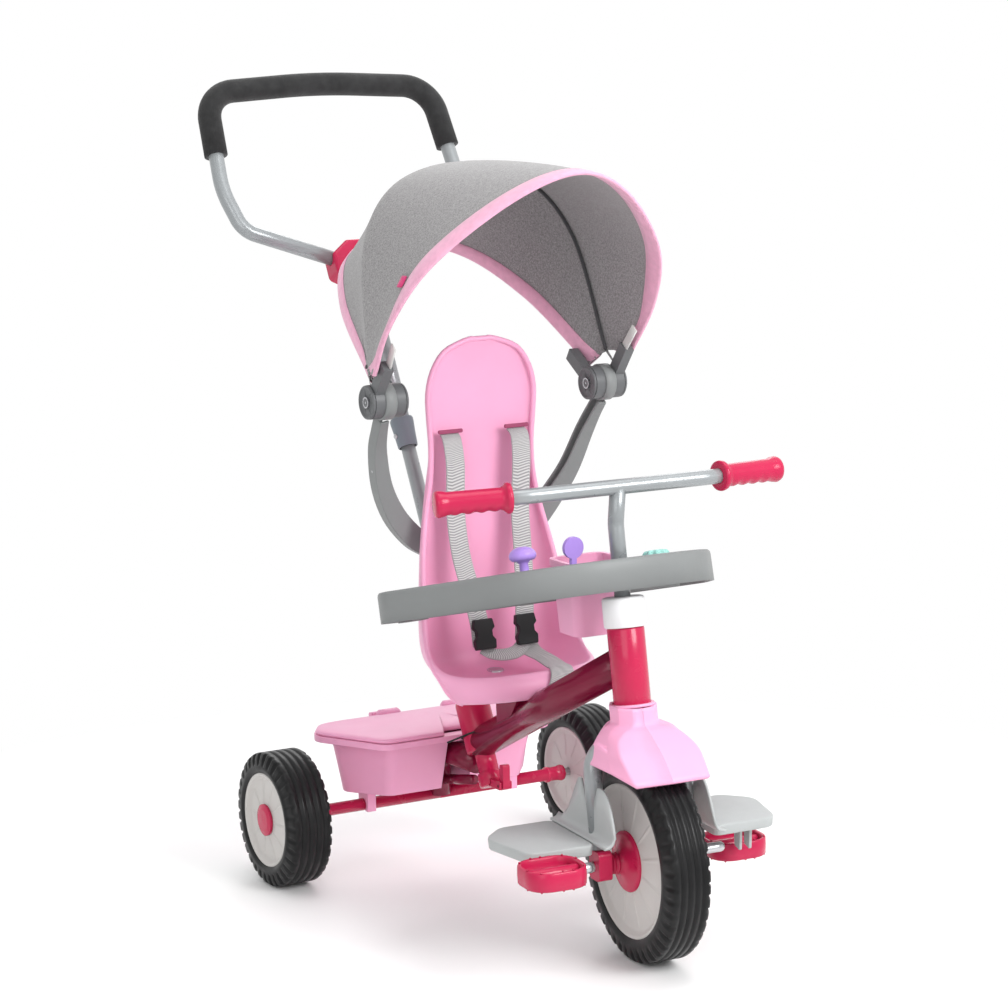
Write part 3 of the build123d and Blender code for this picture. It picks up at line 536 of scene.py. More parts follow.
# ---- seat -----------------------------------------------------------------------------------------
def seat():
    """Bucket: rows run from the front lip over the pan and up the back, each from its middle to its rim."""
    middle = [(-98, 266), (-109, 266), (-114, 276), (-110, 289), (-99, 293), (-84, 284), (-48, 277), (0, 276),
              (28, 288), (38, 325), (39, 390), (39, 460), (38, 530), (37, 580), (36, 620), (33, 655), (29, 683),
              (26, 695)]
    rim = [(80, -60, 258), (88, -58, 262), (98, -54, 274), (104, -50, 287), (107, -40, 297), (107, -31, 306),
           (107, -21, 318), (105, -12, 338), (102, -4, 360), (98, 4, 385), (94, 11, 415), (88, 19, 450), (79, 26, 492),
           (71, 27, 545), (74, 26, 600), (73, 25, 645), (52, 25, 681), (15, 26, 696)]
    centre_line = through([Vector((0, y, z)) for y, z in middle], 3)
    rim_line = through([Vector(p) for p in rim], 3)
    rows = []
    for i, (mid, edge) in enumerate(zip(centre_line, rim_line)):
        square = 1.0 + min(1.0, i / 24)
        half = []
        for k in range(15):
            s = k / 14
            wide = math.sin(s * math.pi / 2) ** 0.9
            rise = (1 - math.cos(s * math.pi / 2)) ** square
            half.append((edge.x * wide, mid.y + (edge.y - mid.y) * rise, mid.z + (edge.z - mid.z) * rise))
        rows.append([at(-x, y, z) for x, y, z in half[:0:-1]] + [at(*p) for p in half])
    shell = thicken(surface("seat_bucket", rows, pink), 0.005, levels=1)
    finished(shell, "frame", "pink_plastic", "seat_shell")
    left, right = [row[-1] for row in rows[::2]], [row[0] for row in rows[::2]]
    top = rows[-1][::4]
    rim_path = through(right + top[1:-1] + left[::-1], 3)
    roll = pipe("seat_rim", rim_path, 3.6, pink, (0.05, 1, 0.3), 12)
    finished(roll, "frame", "pink_plastic")


def harness():
    """Shoulder straps, crotch strap, their buckles and the slots that they pass through."""
    pieces = []
    for side in (-1, 1):
        path = [at(side * 47, 24, 580), at(side * 48, 14, 571), at(side * 47, 9, 540), at(side * 46, 12, 480),
                at(side * 44, 4, 430), at(side * 39, -8, 390), at(side * 33, -18, 350), at(side * 30, -21, 318)]
        pieces.append(sweep("strap", through(path, 8), ribbon_section(0.026, 0.0022), straps))
    finished(join("shoulder_webbing", pieces), "frame", "webbing", "shoulder_straps")
    path = [at(30, -24, 316), at(34, -34, 306), at(40, -56, 300), at(38, -84, 297), at(34, -104, 297),
            at(28, -117, 290), at(22, -118, 276), at(18, -110, 264)]
    front = sweep("crotch_webbing", through(path, 8), ribbon_section(0.03, 0.0022), straps)
    finished(front, "frame", "webbing", "crotch_strap")
    link = [at(-33, -26, 315), at(-24, -32, 309), at(-6, -35, 306), at(12, -34, 308), at(28, -26, 316)]
    lap = sweep("lap_webbing", through(link, 8), ribbon_section(0.018, 0.0022), straps, side=Vector((0, 0.75, 0.66)))
    finished(lap, "frame", "webbing")
    outline = [(-13, 19), (13, 19), (15, 8), (11, 4), (11, -3), (15, -8), (14, -19), (-14, -19), (-15, -8), (-11, -3),
               (-11, 4), (-15, 8)]
    buckles = []
    for side in (-1, 1):
        origin = at(side * 30, -22, 332)
        buckles.append(plate("buckle", outline, origin, (1, 0, 0), (0, 0.25, 1), 8, black, 0.0014, 2.0))
        buckles.append(plate("latch", [(-6, 12), (6, 12), (6, -10), (-6, -10)], origin - Vector((0, 0.0012, 0)),
                             (1, 0, 0), (0, 0.25, 1), 3, black, 0.0008, 2.0))
    finished(join("buckle_bodies", buckles), "frame", "black_plastic", "harness_buckles")
    slots = [plate("slot", [(-17, 2.5), (17, 2.5), (17, -2.5), (-17, -2.5)], at(side * 47, 22, 583), (1, 0, 0.0),
                   (0, 0.1, 1), 3, slot_dark, 0.0006, 2.0) for side in (-1, 1)]
    finished(join("strap_slots", slots), "frame", "pink_plastic")


# ---- canopy ---------------------------------------------------------------------------------------
bow_lines = {}


def bow_point(bow, share):
    """Point of a bow in the drawing; share 0 is the right foot, 1 the left."""
    angle, points = bow
    if angle not in bow_lines:
        bow_lines[angle] = through([Vector((x, y, 0)) for x, y in mirrored(points)], 24)
    line = bow_lines[angle]
    place = share * (len(line) - 1)
    low = min(int(place), len(line) - 2)
    p = line[low].lerp(line[low + 1], place - low)
    tilt = math.radians(angle)
    return at(p.x, CANOPY_HUB[1] - p.y * math.sin(tilt), CANOPY_HUB[2] + p.y * math.cos(tilt))


def cover_point(back, share):
    """Point of the stretched cover: back 0 at the front bow, 0.5 at the middle one, 1 at the rear one."""
    a, b, c = (bow_point(bow, share) for bow in (FRONT_BOW, MIDDLE_BOW, REAR_BOW))
    curved = a * (2 * (back - 0.5) * (back - 1)) + b * (-4 * back * (back - 1)) + c * (2 * back * (back - 0.5))
    tight = a.lerp(b, back * 2) if back < 0.5 else b.lerp(c, back * 2 - 1)
    p = curved.lerp(tight, 0.3 if back < 0.5 else 0.85)
    foot = max(0.0, abs(share - 0.5) * 2 - 0.62) / 0.38
    pucker = 0.003 * foot * foot * math.sin(back * 6.5 * math.pi)
    hub = at(0, CANOPY_HUB[1], CANOPY_HUB[2])
    out = Vector((p.x, p.y - hub.y, p.z - hub.z)).normalized()
    slack = -0.004 * abs(math.sin(back * 2 * math.pi)) * (1 - foot)
    return p + out * (slack - 0.0015) + Vector((math.copysign(pucker, p.x), 0, 0))


def cover_frame(back, share):
    """Point and outward normal of the cover."""
    p = cover_point(back, share)
    along = cover_point(min(back + 0.01, 1), share) - cover_point(max(back - 0.01, 0), share)
    across = cover_point(back, min(share + 0.005, 1)) - cover_point(back, max(share - 0.005, 0))
    return p, along.cross(across).normalized() * -1


def edge_band(name, start, inward, width):
    """Tape folded over one edge of the cover: out over its face, round the edge and back inside."""
    shares = [k / 120 for k in range(121)]
    rows = []
    face = [(1.0, 0.0012), (0.97, 0.0024), (0.5, 0.0026), (0.06, 0.0026), (-0.06, 0.0012)]
    for depth, lift in face + [(depth, -lift) for depth, lift in face[::-1]]:
        row = []
        for share in shares:
            span = (cover_point(0.5, share) - cover_point(start, share)).length * 2
            step = inward * min(0.3, width / max(span, 0.02)) * depth
            p, normal = cover_frame(min(max(start + step, 0), 1), share)
            if depth < 0:
                outwards = cover_point(start, share) - cover_point(start + inward * 0.02, share)
                p = p + outwards.normalized() * 0.0015
            row.append(p + normal * lift)
        rows.append(row)
    return surface(name, rows, tape, size=(1.0, 0.05))


def canopy():
    """Cover, its bindings, middle seam, tag and the strip ends that show below its corners."""
    shares = [k / 120 for k in range(121)]
    rows = [[cover_point(i / 40, share) for share in shares] for i in range(41)]
    cover = thicken(surface("canopy_cover", rows, cloth), 0.0016)
    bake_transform(cover)
    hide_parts("canopy_fabric")
    finished(edge_band("front_binding", 0.0, 1, 0.024), "canopy_front", "canopy_cloth", "front_bow")
    finished(edge_band("rear_binding", 1.0, -1, 0.022), "canopy_rear", "canopy_cloth", "rear_bow")
    seam_line = [cover_frame(0.5, 0.02 + 0.96 * k / 100) for k in range(101)]
    seam = sweep("canopy_seam", [p - n * 0.003 for p, n in seam_line], ring_section(0.0024, 10), piping,
                 side=Vector((0, 1, 0.2)))
    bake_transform(seam)
    p, normal = cover_frame(0.075, 0.215)
    q, _ = cover_frame(0.075, 0.195)
    r, _ = cover_frame(0.115, 0.215)
    u, v = (q - p), (r - p).normalized() * 0.016
    swell = [normal * (0.0035 + 0.0012 * math.sin(i / 4 * math.pi)) for i in range(5)]
    tag_rows = [[p + u * (j / 4) + v * (i / 4) + swell[i] for j in range(5)] for i in range(5)]
    tag = thicken(surface("canopy_tag", tag_rows, tag_cloth), 0.001, levels=1)
    finished(tag, "canopy_front", "canopy_cloth")
    for bow, body, word in ((FRONT_BOW, "canopy_front", "front"), (REAR_BOW, "canopy_rear", "rear")):
        ends = []
        for side in (0, 1):
            inwards = 0.016 if side == 0 else -0.016
            path = [bow_point(bow, side + (0.004 + 0.02 * k) * (1 if side == 0 else -1)) for k in range(4)]
            path = [p + Vector((inwards, 0, 0)) for p in path]
            tilt = math.radians(bow[0])
            ends.append(sweep("strip_end", path, ribbon_section(0.013, 0.0025), strip_white,
                              side=Vector((0, math.cos(tilt), math.sin(tilt)))))
        finished(join(f"{word}_strip_ends", ends), body, "bow_strip")


# ---- wheels ---------------------------------------------------------------------------------------
def tyre_profile(radius, rim, half, tread, grooves):
    line = [(-half + 3, rim - 1), (-half, rim + 3), (-half - 0.0, rim + 8), (-half + 0.6, radius - 16),
            (-half + 1.2, radius - 9), (-half + 3.0, radius - 4.5), (-tread - 1.0, radius - 1.6), (-tread + 2, radius)]
    for x in grooves:
        line += [(x - 1.5, radius), (x - 1.0, radius - 1.3), (x + 1.0, radius - 1.3), (x + 1.5, radius)]
    line += [(-x, r) for x, r in line[7::-1]]
    return line


def tyre(name, node, body, centre, radius, rim, half, tread, grooves, blocks, turned=False):
    """Tyre with grooves round its tread and a row of blocks on each shoulder."""
    pitch = 8
    shoulder = (-half + 3.0, radius - 4.5), (-half + 1.2, radius - 9), (-tread - 1.0, radius - 1.6)

    def reach(along, r, angle):
        phase = (angle / (2 * math.pi) * blocks) % 1
        mark = any(abs(abs(along) - abs(a)) < 0.01 and abs(r - b) < 0.01 for a, b in shoulder)
        if mark and phase < 0.3:
            return along * (1 - 1.6 / abs(along)), r - 1.7
        return along, r

    profile = tyre_profile(radius, rim, half, tread, grooves)
    made = spun(name, profile, centre, X_AXIS, tyre_black, steps=blocks * pitch, reach=reach)
    finished(made, body, "tyre", node, turned=turned)


def disc(name, node, body, centre, rim, face, bore, hub, ribs, turned=False):
    """Hollow moulded wheel: a dished face each side with radial ribs and a rolled rim."""
    half = [(0, rim), (face - 1.0, rim), (face + 2.2, rim - 1.2), (face + 2.4, rim - 3.2), (face + 1.0, rim - 5.5),
            (face - 3.0, rim - 8.0), (face - 3.6, rim - 12), (face - 2.6, rim - 26), (face - 0.8, hub + 4),
            (face, hub), (face, bore)]
    profile = [(-x, r) for x, r in half[:0:-1]] + half

    def reach(along, r, angle):
        inside = hub + 3 < r < rim - 9
        phase = abs(((angle / (2 * math.pi) * ribs) % 1) - 0.5) * 2
        lift = max(0.0, 1 - phase / 0.16) * 1.3 if inside else 0.0
        return along + math.copysign(lift, along), r

    made = spun(name, profile, centre, X_AXIS, cream, steps=ribs * 24, reach=reach)
    finished(made, body, "cream_plastic", node, turned=turned)


def front_flanges():
    """Red flange each side with a waisted cone and a ribbed bush."""
    half = [(20, 6.4), (20, 36), (25.6, 36.2), (27.0, 35), (27.4, 31), (28.6, 24), (31, 18), (33.5, 14.2), (35, 13.2),
            (36, 13.2), (36.4, 11.4), (38.4, 11.4), (38.8, 13), (41, 13), (41.4, 11.2), (43.6, 11.2), (44, 12.4),
            (46.5, 12.4), (47, 10), (50.5, 10), (50.5, 6.4)]
    centre = at(0, *FRONT_AXLE)
    both = [spun("flange", [(s * a, r) for a, r in half], centre, X_AXIS, red_gloss) for s in (-1, 1)]
    finished(join("hub_flanges", both), "front_wheel", "red_plastic", "front_hub_flanges", turned=True)


def wheels():
    front = at(0, *FRONT_AXLE)
    tyre("front_tyre_skin", "front_tyre", "front_wheel", front, 120, 92, 28, 22.5, (-13.5, -4.5, 4.5, 13.5), 44, True)
    disc("front_disc_skin", "front_wheel_discs", "front_wheel", front, 92, 23.6, 6.4, 36, 12, True)
    front_flanges()
    for side, word in SIDES:
        centre = at(side * REAR_TRACK, *REAR_AXLE)
        tyre(f"rear_tyre_skin_{word}", f"rear_tyre_{word}", f"rear_wheel_{word}", centre, 85.7, 61, 30, 25,
             (-15, -5, 5, 15), 34)
        disc(f"rear_disc_skin_{word}", f"rear_wheel_{word}", f"rear_wheel_{word}", centre, 61, 25.6, 5.4, 20, 10)


# ---- handlebar grips ------------------------------------------------------------------------------
def grips():
    """Flanged grips with finger waves underneath and a flared end."""
    for side, word in SIDES:
        end, inner = at(side * 221.5, -277.4, 549.4), at(side * 112, -299.0, 552.0)
        axis = (inner - end).normalized()
        profile = [(0, 0.5), (0, 12), (1, 14.5), (4, 15.6), (9, 15.0), (14, 13.6)]
        profile += [(14 + 2 * k, 13.5 - 0.012 * k) for k in range(1, 33)]
        profile += [(80, 14.0), (82.5, 16), (83.5, 17.6), (86.5, 18.2), (89, 17.6), (90, 15.5), (90, 9.2)]

        def reach(along, r, angle, side=side):
            below = max(0.0, -math.cos(angle))
            if 16 < along < 78:
                return along, r + below * 0.9 * math.cos((along - 16) / 62 * 4 * 2 * math.pi + math.pi)
            return along, r

        made = spun(f"grip_skin_{word}", profile, end, axis, red_gloss, steps=48, reach=reach)
        finished(made, "steering", "red_plastic", f"grip_{word}", turned=True)


# ---- tray toys ------------------------------------------------------------------------------------
def tray_point(x, y, up):
    """Point over the tray: x across, y rearwards along it, up from its rim."""
    tilt = math.radians(TRAY[2])
    return at(x, TRAY[0] + y * math.cos(tilt) + up * math.sin(tilt),
              TRAY[1] - y * math.sin(tilt) + up * math.cos(tilt))


def toys():
    """Press knob and the two turning knobs."""
    up = (tray_point(0, 0, 1) - tray_point(0, 0, 0)).normalized()
    profile = [(0.4, 0.1), (0.4, 11), (3, 10), (5, 6), (22, 5.2), (25, 8), (26, 13), (29, 15.8), (33, 16), (37, 14),
               (40, 10), (41.8, 5), (42, 0.1)]
    knob = spun("knob_skin", profile, tray_point(-109, -128, -12), up, lilac)
    finished(knob, "toy_knob", "lilac_plastic", "toy_knob")
    for x, radius, tall, word, look in ((70, 15, 20, "large", mint), (97, 10, 14, "small", cream)):
        def reach(along, r, angle):
            return along, r + (0.09 * r * math.cos(9 * angle) if along > 1 else 0)
        profile = [(0.4, 0.1), (0.4, radius * 0.8), (2, radius), (tall - 4, radius), (tall - 1, radius * 0.85),
                   (tall, radius * 0.5), (tall, 0.1)]
        made = spun(f"spinner_skin_{word}", profile, tray_point(x, -128, -12), up, look, reach=reach)
        finished(made, f"toy_spinner_{word}", "mint_plastic", f"toy_spinner_{word}")


# ---- tubes ----------------------------------------------------------------------------------------
def on_post(s):
    """Point s along the push handle's post."""
    lean = math.radians(POST[2])
    return at(0, POST[0] + s * math.sin(lean), POST[1] + s * math.cos(lean))


def on_steerer(z):
    """Point of the steering axis at height z."""
    return steer_point + steer_axis * ((z / 1000 - steer_point.z) / steer_axis.z)


def on_loop(x, up):
    """Point of the handle loop's plane: across, and up along the post from the hub."""
    return on_post(616 + up) + Vector((x / 1000, 0, 0))


def frame_tubes():
    """Main tube, head tube, socket with its lever's lugs, rear tube and the sleeves of the axle tube."""
    post = (on_post(1) - on_post(0)).normalized()
    main = pipe("main_tube_skin", [at(0, 40, 177), at(0, -300, 342.6)], 20.5, wine_paint, sides=48)
    finished(main, "frame", "dark_red_paint", "main_tube")
    head = spun("head_tube_skin", [(0, 9.6), (0, 21), (1, 22), (88, 22), (89.6, 21), (89.6, 9.6)], on_steerer(300),
                steer_axis, red_paint)
    finished(head, "frame", "red_paint", "head_tube")
    cap = spun("head_cap_skin", [(0, 10), (0, 24), (1, 25), (32, 25), (34.6, 24.2), (35.4, 22), (35.4, 10)],
               on_steerer(389), steer_axis, white)
    finished(cap, "frame", "white_plastic", "head_cap")
    profile = [(-118, 0.1), (-118, 15), (-117, 16), (-103, 16), (-101, 15), (-100, 13), (-73, 13), (-72, 21),
               (-71, 22), (-9, 22), (-4, 20.6), (-1, 17.5), (0, 13), (0, 9.6)]
    socket = spun("socket_skin", profile, on_post(0), post, red_gloss)
    low, high = LEVER_PIN[1] - 5, LEVER_PIN[1] + 5
    outline = [(LEVER_PIN[0] - 4, low), (8, low), (8, high), (LEVER_PIN[0] - 4, high)]
    lugs = [plate("lug", outline, at(x, 0, 0), (0, 1, 0), (0, 0, 1), 3.6, red_gloss, 0.0006, 1.5)
            for x in (-9, 5.4)]
    pin = spun("lug_pin", [(-9, 0.1), (-9, 2), (9, 2), (9, 0.1)], at(0, *LEVER_PIN), X_AXIS, red_gloss, 20)
    finished(join("socket_skin", [socket, pin] + lugs), "frame", "red_plastic", "handle_socket")
    curve = bent([at(0, 52, 150), at(0, 153, 146), at(0, 157, 85.7)], 0.026)
    yoke = join("rear_yoke_skin", [pipe("yoke", curve, 16, wine_paint, (1, 0, 0), 36),
                                   pipe("brace", [at(0, 60, 124), at(0, 150, 105)], 6.5, wine_paint, (1, 0, 0))])
    finished(yoke, "frame", "dark_red_paint", "rear_yoke")
    half = [(0, 5.2), (0, 8), (161, 8), (162, 10.2), (164, 10.6), (166, 10.2), (167, 9.4), (181, 9.4), (182, 10.2),
            (185, 10.8), (188, 10.2), (189, 5.2)]
    ends = [spun("sleeve", [(s * a, r) for a, r in half], at(0, *REAR_AXLE), X_AXIS, red_paint) for s in (-1, 1)]
    finished(join("axle_tube_skin", ends), "frame", "red_paint", "axle_tube")


def canopy_arms():
    """Channel-section arms from the seat's back up to the canopy's hubs, open on their inner side."""
    path = [(155, -5, 612, 12), (152, 8, 594, 14), (147, 24, 566, 18), (134, 40, 520, 22), (112, 52, 480, 26),
            (86, 54, 450, 28), (66, 47, 436, 28)]
    smooth_path = through([Vector((x, y, z)) for x, y, z, _ in path], 5)
    widths = through([Vector((w, 0, 0)) for *_, w in path], 5)
    for side, word in SIDES:
        sections = []
        for i, (p, width) in enumerate(zip(smooth_path, widths)):
            down = (smooth_path[min(i + 1, len(smooth_path) - 1)] - smooth_path[max(i - 1, 0)]).normalized()
            deep = (Vector((0, 1, 0)) - down * down.y).normalized()
            wide = deep.cross(down).normalized()
            wide = wide if wide.x > 0 else -wide
            w = width.x / 2
            corners = [(-w, -9), (w, -9), (w, 9), (-w, 9), (-w, 5.5), (w - 4, 5.5), (w - 4, -5.5), (-w, -5.5)]
            points = [p + wide * a + deep * b for a, b in corners]
            points = [at(side * q.x, q.y, q.z) for q in points]
            sections.append(points if side > 0 else points[::-1])
        arm = loft("arm", sections, grey, 0.0012)
        core = spun("core", [(-7.5, 8), (-7.5, 22), (-6.7, 23), (6.7, 23), (7.5, 22), (7.5, 8)],
                    at(side * CANOPY_HUB[0], *CANOPY_HUB[1:]), X_AXIS, grey)
        screw = spun("screw", [(-1, 0.1), (-1, 3.2), (0.8, 2.6), (1.1, 0.1)], at(side * 150, 32, 540.3),
                     (side, 0, -0.28), bare_steel, 20)
        finished(join(f"arm_skin_{word}", [arm, core, screw]), "frame", "grey_plastic", f"canopy_arm_{word}")


def push_handle():
    """Two posts, the collar between them, and the bent loop with its foam sleeve."""
    post = (on_post(1) - on_post(0)).normalized()
    normal = X_AXIS.cross(post)
    lower = pipe("lower_post_skin", [on_post(-101), on_post(470)], 9.5, grey_paint)
    finished(lower, "handle_lower", "grey_paint", "lower_post")
    upper = pipe("upper_post_skin", [on_post(343), on_post(596)], 11.3, grey_paint)
    finished(upper, "handle_upper", "grey_paint", "upper_post")
    profile = [(-20, 11.4), (-20, 12.4), (-19, 13.1), (0, 14.2), (12, 15.3), (17, 15.5), (19.5, 14.6), (20, 13),
               (20, 11.4)]
    collar = spun("collar_skin", profile, on_post(361), post, blue_grey)
    finished(collar, "handle_upper", "blue_grey_plastic", "post_collar")
    screw = spun("collar_screw", [(0, 0.1), (0, 3.6), (1.2, 3.4), (1.8, 2.4), (1.8, 0.1)],
                 on_post(357) + Vector((-0.0138, 0, 0)), (-1, -0.2, 0), bare_steel, steps=24)
    finished(screw, "handle_upper", "bare_steel")
    shape = [(26, -11), (160, 42), (176, 100), (167, 240), (0, 250)]
    points = [on_loop(x, y) for x, y in shape] + [on_loop(-x, y) for x, y in shape[-2::-1]]
    radii = [r / 1000 for r in (36, 120, 45, 900, 45, 120, 36)]
    loop = pipe("loop_skin", bent(points, radii, 14), 9.9, grey_paint, normal)
    finished(loop, "handle_upper", "grey_paint", "handle_loop")
    sleeve = [on_loop(x, y) for x, y in ((172.8, 150), (167, 240), (0, 250), (-167, 240), (-172.8, 150))]
    grip = pipe("foam_sleeve", bent(sleeve, radii[2:-2], 16), 15.5, foam, normal, 32)
    finished(grip, "handle_upper", "foam", "handle_grip")


def pedal_place(side):
    """y and z of a pedal's axis; side is 1 for the left and -1 for the right."""
    angle = math.radians(CRANK_ANGLE)
    y, z = FRONT_AXLE
    return y + side * PEDAL_THROW * math.cos(angle), z - side * PEDAL_THROW * math.sin(angle)


def front_tubes():
    """Fork legs with their crown, handlebar with its stem, and the cranked axle."""
    plane = X_AXIS.cross(steer_axis)
    crown, low = on_steerer(260), on_steerer(140)
    side = Vector((0.0595, 0, 0))
    bends = bent([low - side, crown - side, crown + side, low + side], 0.034, 12)
    legs = pipe("fork_legs", bends, 10.5, grey_paint, plane)
    finished(legs, "steering", "grey_paint", "fork", turned=True)
    stem = bent([on_steerer(330), on_steerer(508), at(0, -299, 552)], 0.03, 12)
    points = [at(-BAR_END[0], *BAR_END[1:]), at(-BAR_MIDDLE[0], *BAR_MIDDLE[1:]), at(*BAR_MIDDLE), at(*BAR_END)]
    bar = pipe("bar", bent(points, 0.06, 8), 9, grey_paint, (0, 1, 0))
    both = join("handlebar_skin", [bar, pipe("stem", stem, 9.5, grey_paint)])
    finished(both, "steering", "grey_paint", "handlebar", turned=True)
    ends = [[at(x * CRANK_REACH, *pedal_place(x)), at(x * CRANK_WEB, *pedal_place(x)), at(x * CRANK_WEB, *FRONT_AXLE)]
            for x in (-1, 1)]
    crank = pipe("crank_skin", bent(ends[0] + ends[1][::-1], 0.009, 8), 6, bare_steel, (0, 1, 0.3))
    finished(crank, "crank", "bare_steel", "crank", turned=True)


# ---- fender and footrests -------------------------------------------------------------------------
def fender():
    """Collar over a faceted hood whose panels meet in soft creases."""
    shape = [(300, [(0, -27), (12, -24), (24, -12), (27, 4), (18, 20)]),
             (286, [(0, -27), (12, -24), (24, -12), (27, 4), (18, 20)]),
             (279, [(0, -29), (15, -26), (26, -12), (28, 4), (19, 21)]),
             (275, [(0, -37), (30, -33), (38, -16), (36, 4), (24, 23)]),
             (268, [(0, -48), (42, -42), (45, -22), (45, 3), (30, 25)]),
             (257, [(0, -64), (49, -59), (52, -34), (55, -1), (36, 28)]),
             (246, [(0, -76), (49, -72), (56, -44), (60, -4), (40, 30)]),
             (231, [(0, -91), (47, -89), (59, -52), (64, -8), (42, 30)])]
    lower = (-3, -3, 6, 8, 8)
    loops = []
    for height, half in shape:
        centre = on_steerer(height)
        share = max(0.0, (246 - height) / 15)
        corners = [(x, y, share * low) for (x, y), low in zip(half, lower)]
        outline = corners + [(-x, y, low) for x, y, low in corners[:0:-1]]
        flat = bent([Vector(p) for p in outline], 3.0, 3, closed=True)
        loops.append([centre + p / 1000 for p in flat])
    smooth_loops = [list(column) for column in zip(*[through(list(column), 4) for column in zip(*loops)])]
    rows = [loop + [loop[0]] for loop in smooth_loops]
    hood = thicken(surface("fender_skin", rows, pink), 0.003)
    finished(hood, "steering", "pink_plastic", "fender", turned=True)
    top = spun("fender_top", [(0, 9.8), (0, 26), (3, 26.5), (3.4, 25), (3.4, 9.8)], on_steerer(297), steer_axis, pink)
    finished(top, "steering", "pink_plastic", turned=True)


def footrests():
    """Rounded platforms with ribs under them, and the wings that rise beside the fork legs."""
    for side, word in SIDES:
        outline = [(78, -258), (146, -258), (177, -290), (160, -376), (78, -378)]
        flat = [Vector((x, y, 0)) for x, y in outline]
        wide = bent(flat, [8, 20, 26, 20, 8], 8, closed=True)
        middle = Vector((122, -318, 0))
        loops = []
        for z, share in ((142, 0.975), (143, 0.985), (152.5, 1.0), (154.4, 0.988), (155, 0.965)):
            flat = [middle.lerp(p, share) for p in wide]
            loops.append([at(side * p.x, p.y, z) for p in flat])
        parts = [loft("deck", loops, stippled)]
        for x in (128, 141):
            parts.append(plate("rib", [(-345, 154), (-327, 154), (-329, 112), (-341, 108)], at(side * x, 0, 0),
                               (0, 1, 0), (0, 0, 1), 4, pale_grey, 0.001, 1.5))
        node = f"footrest_{word}"
        finished(join(f"footrest_skin_{word}", parts), node, "grey_plastic", node, turned=True)
        rows = []
        for k in range(61):
            y = -256 - 148 * k / 60
            rear = 217 - max(0.0, y + 309) * 1.35 - max(0.0, y + 300) * 0.15
            front = 216 - 50 * max(0.0, (-y - 368) / 36) ** 2.2
            leg = 184 + 2.0 * max(abs(y + 338) - 6, 0)
            top = max(158.0, min(rear if y > -338 else front, leg))
            section = [(78, 155.4), (74, 155.8), (70, 157.2), (67, 160.5), (65.5, min(165.0, top)),
                       (64.6, (165 + top) / 2 if top > 165 else top), (63.5, top)]
            rows.append([at(side * x, y, z) for x, z in section])
        wing = thicken(surface(f"footrest_wing_{word}", rows, pale_grey), 0.003)
        finished(wing, "steering", "grey_plastic", turned=True)


def bin_lid():
    """Low domed lid with a notch round the rear tube and two hinge bumps."""
    half = [(32, 98), (32, 76), (117, 76), (171, 172), (149, 206)]
    flat = [Vector((x, y, 0)) for x, y in half] + [Vector((-x, y, 0)) for x, y in half[::-1]]
    edge = bent(flat, [3, 5, 22, 22, 22, 22, 22, 22, 5, 3], 6, closed=True)
    middle = Vector((0, 152, 0))
    loops = []
    dome = ((0.985, 182.5), (1, 183), (1, 185.6), (0.992, 187), (0.96, 188), (0.86, 189.8), (0.68, 191.8),
            (0.45, 193.2), (0.2, 194), (0.02, 194.2))
    for share, z in dome:
        flat = [middle.lerp(p, share) for p in edge]
        loops.append([at(p.x, p.y, z) for p in flat])
    pieces = [loft("lid", loops, pink)]
    for x in (-48, 48):
        pieces.append(spun("bump", [(-17, 0.1), (-16.4, 5), (-13, 8), (13, 8), (16.4, 5), (17, 0.1)], at(x, 203, 187),
                           (1, 0, 0), pink, 32))
    finished(join("lid_skin", pieces), "bin_lid", "pink_plastic", "bin_lid")


def pedals():
    """Oval pedal rings with a sleeve across them and studs along their edges."""
    for side, word in SIDES:
        centre = at(side * PEDAL_X, *pedal_place(side))
        rows = []
        for out, up in ((-4.6, -9), (-3.6, -10.4), (-1.2, -11), (0, -9.5), (0.4, 0), (0, 9.5), (-1.2, 11),
                        (-3.6, 10.4), (-4.6, 9), (-4.6, 0), (-4.6, -9)):
            wide, deep = 36.5 + out, 33.5 + out
            ring = bent([Vector((a * wide, b * deep, 0)) for a, b in ((-1, -1), (1, -1), (1, 1), (-1, 1))],
                        25 + out, 12, closed=True)
            ring.append(ring[0])
            rows.append([centre + (p + Vector((0, 0, up))) / 1000 for p in ring])
        ring = surface("ring", rows, red_gloss)
        sleeve = spun("sleeve", [(-35, 0.1), (-35, 6.4), (-33, 7.6), (33, 7.6), (35, 6.4), (35, 0.1)], centre,
                      (1, 0, 0), red_gloss, 40)
        pieces = [ring, sleeve]
        for offset in (-17, 17):
            pieces.append(pipe("rib", [centre + Vector((-0.031, offset / 1000, 0)),
                                       centre + Vector((0.031, offset / 1000, 0))], 2.6, red_gloss, (0, 1, 0), 10))
        edge = bent([Vector((a * 34.2, b * 31.2, 0)) for a, b in ((-1, -1), (1, -1), (1, 1), (-1, 1))], 22, 5,
                    closed=True)
        for p in edge[::3] + [Vector((0, 31.2, 0)), Vector((0, -31.2, 0))]:
            for up in (1, -1):
                pieces.append(spun("stud", [(0, 0.1), (0, 1.5), (1.2, 1.1), (1.9, 0.1)],
                                   centre + Vector((p.x, p.y, up * 10.8)) / 1000, (0, 0, up), red_gloss, 10))
        node = f"pedal_{word}"
        finished(join(f"pedal_skin_{word}", pieces), node, "red_plastic", node, turned=True)


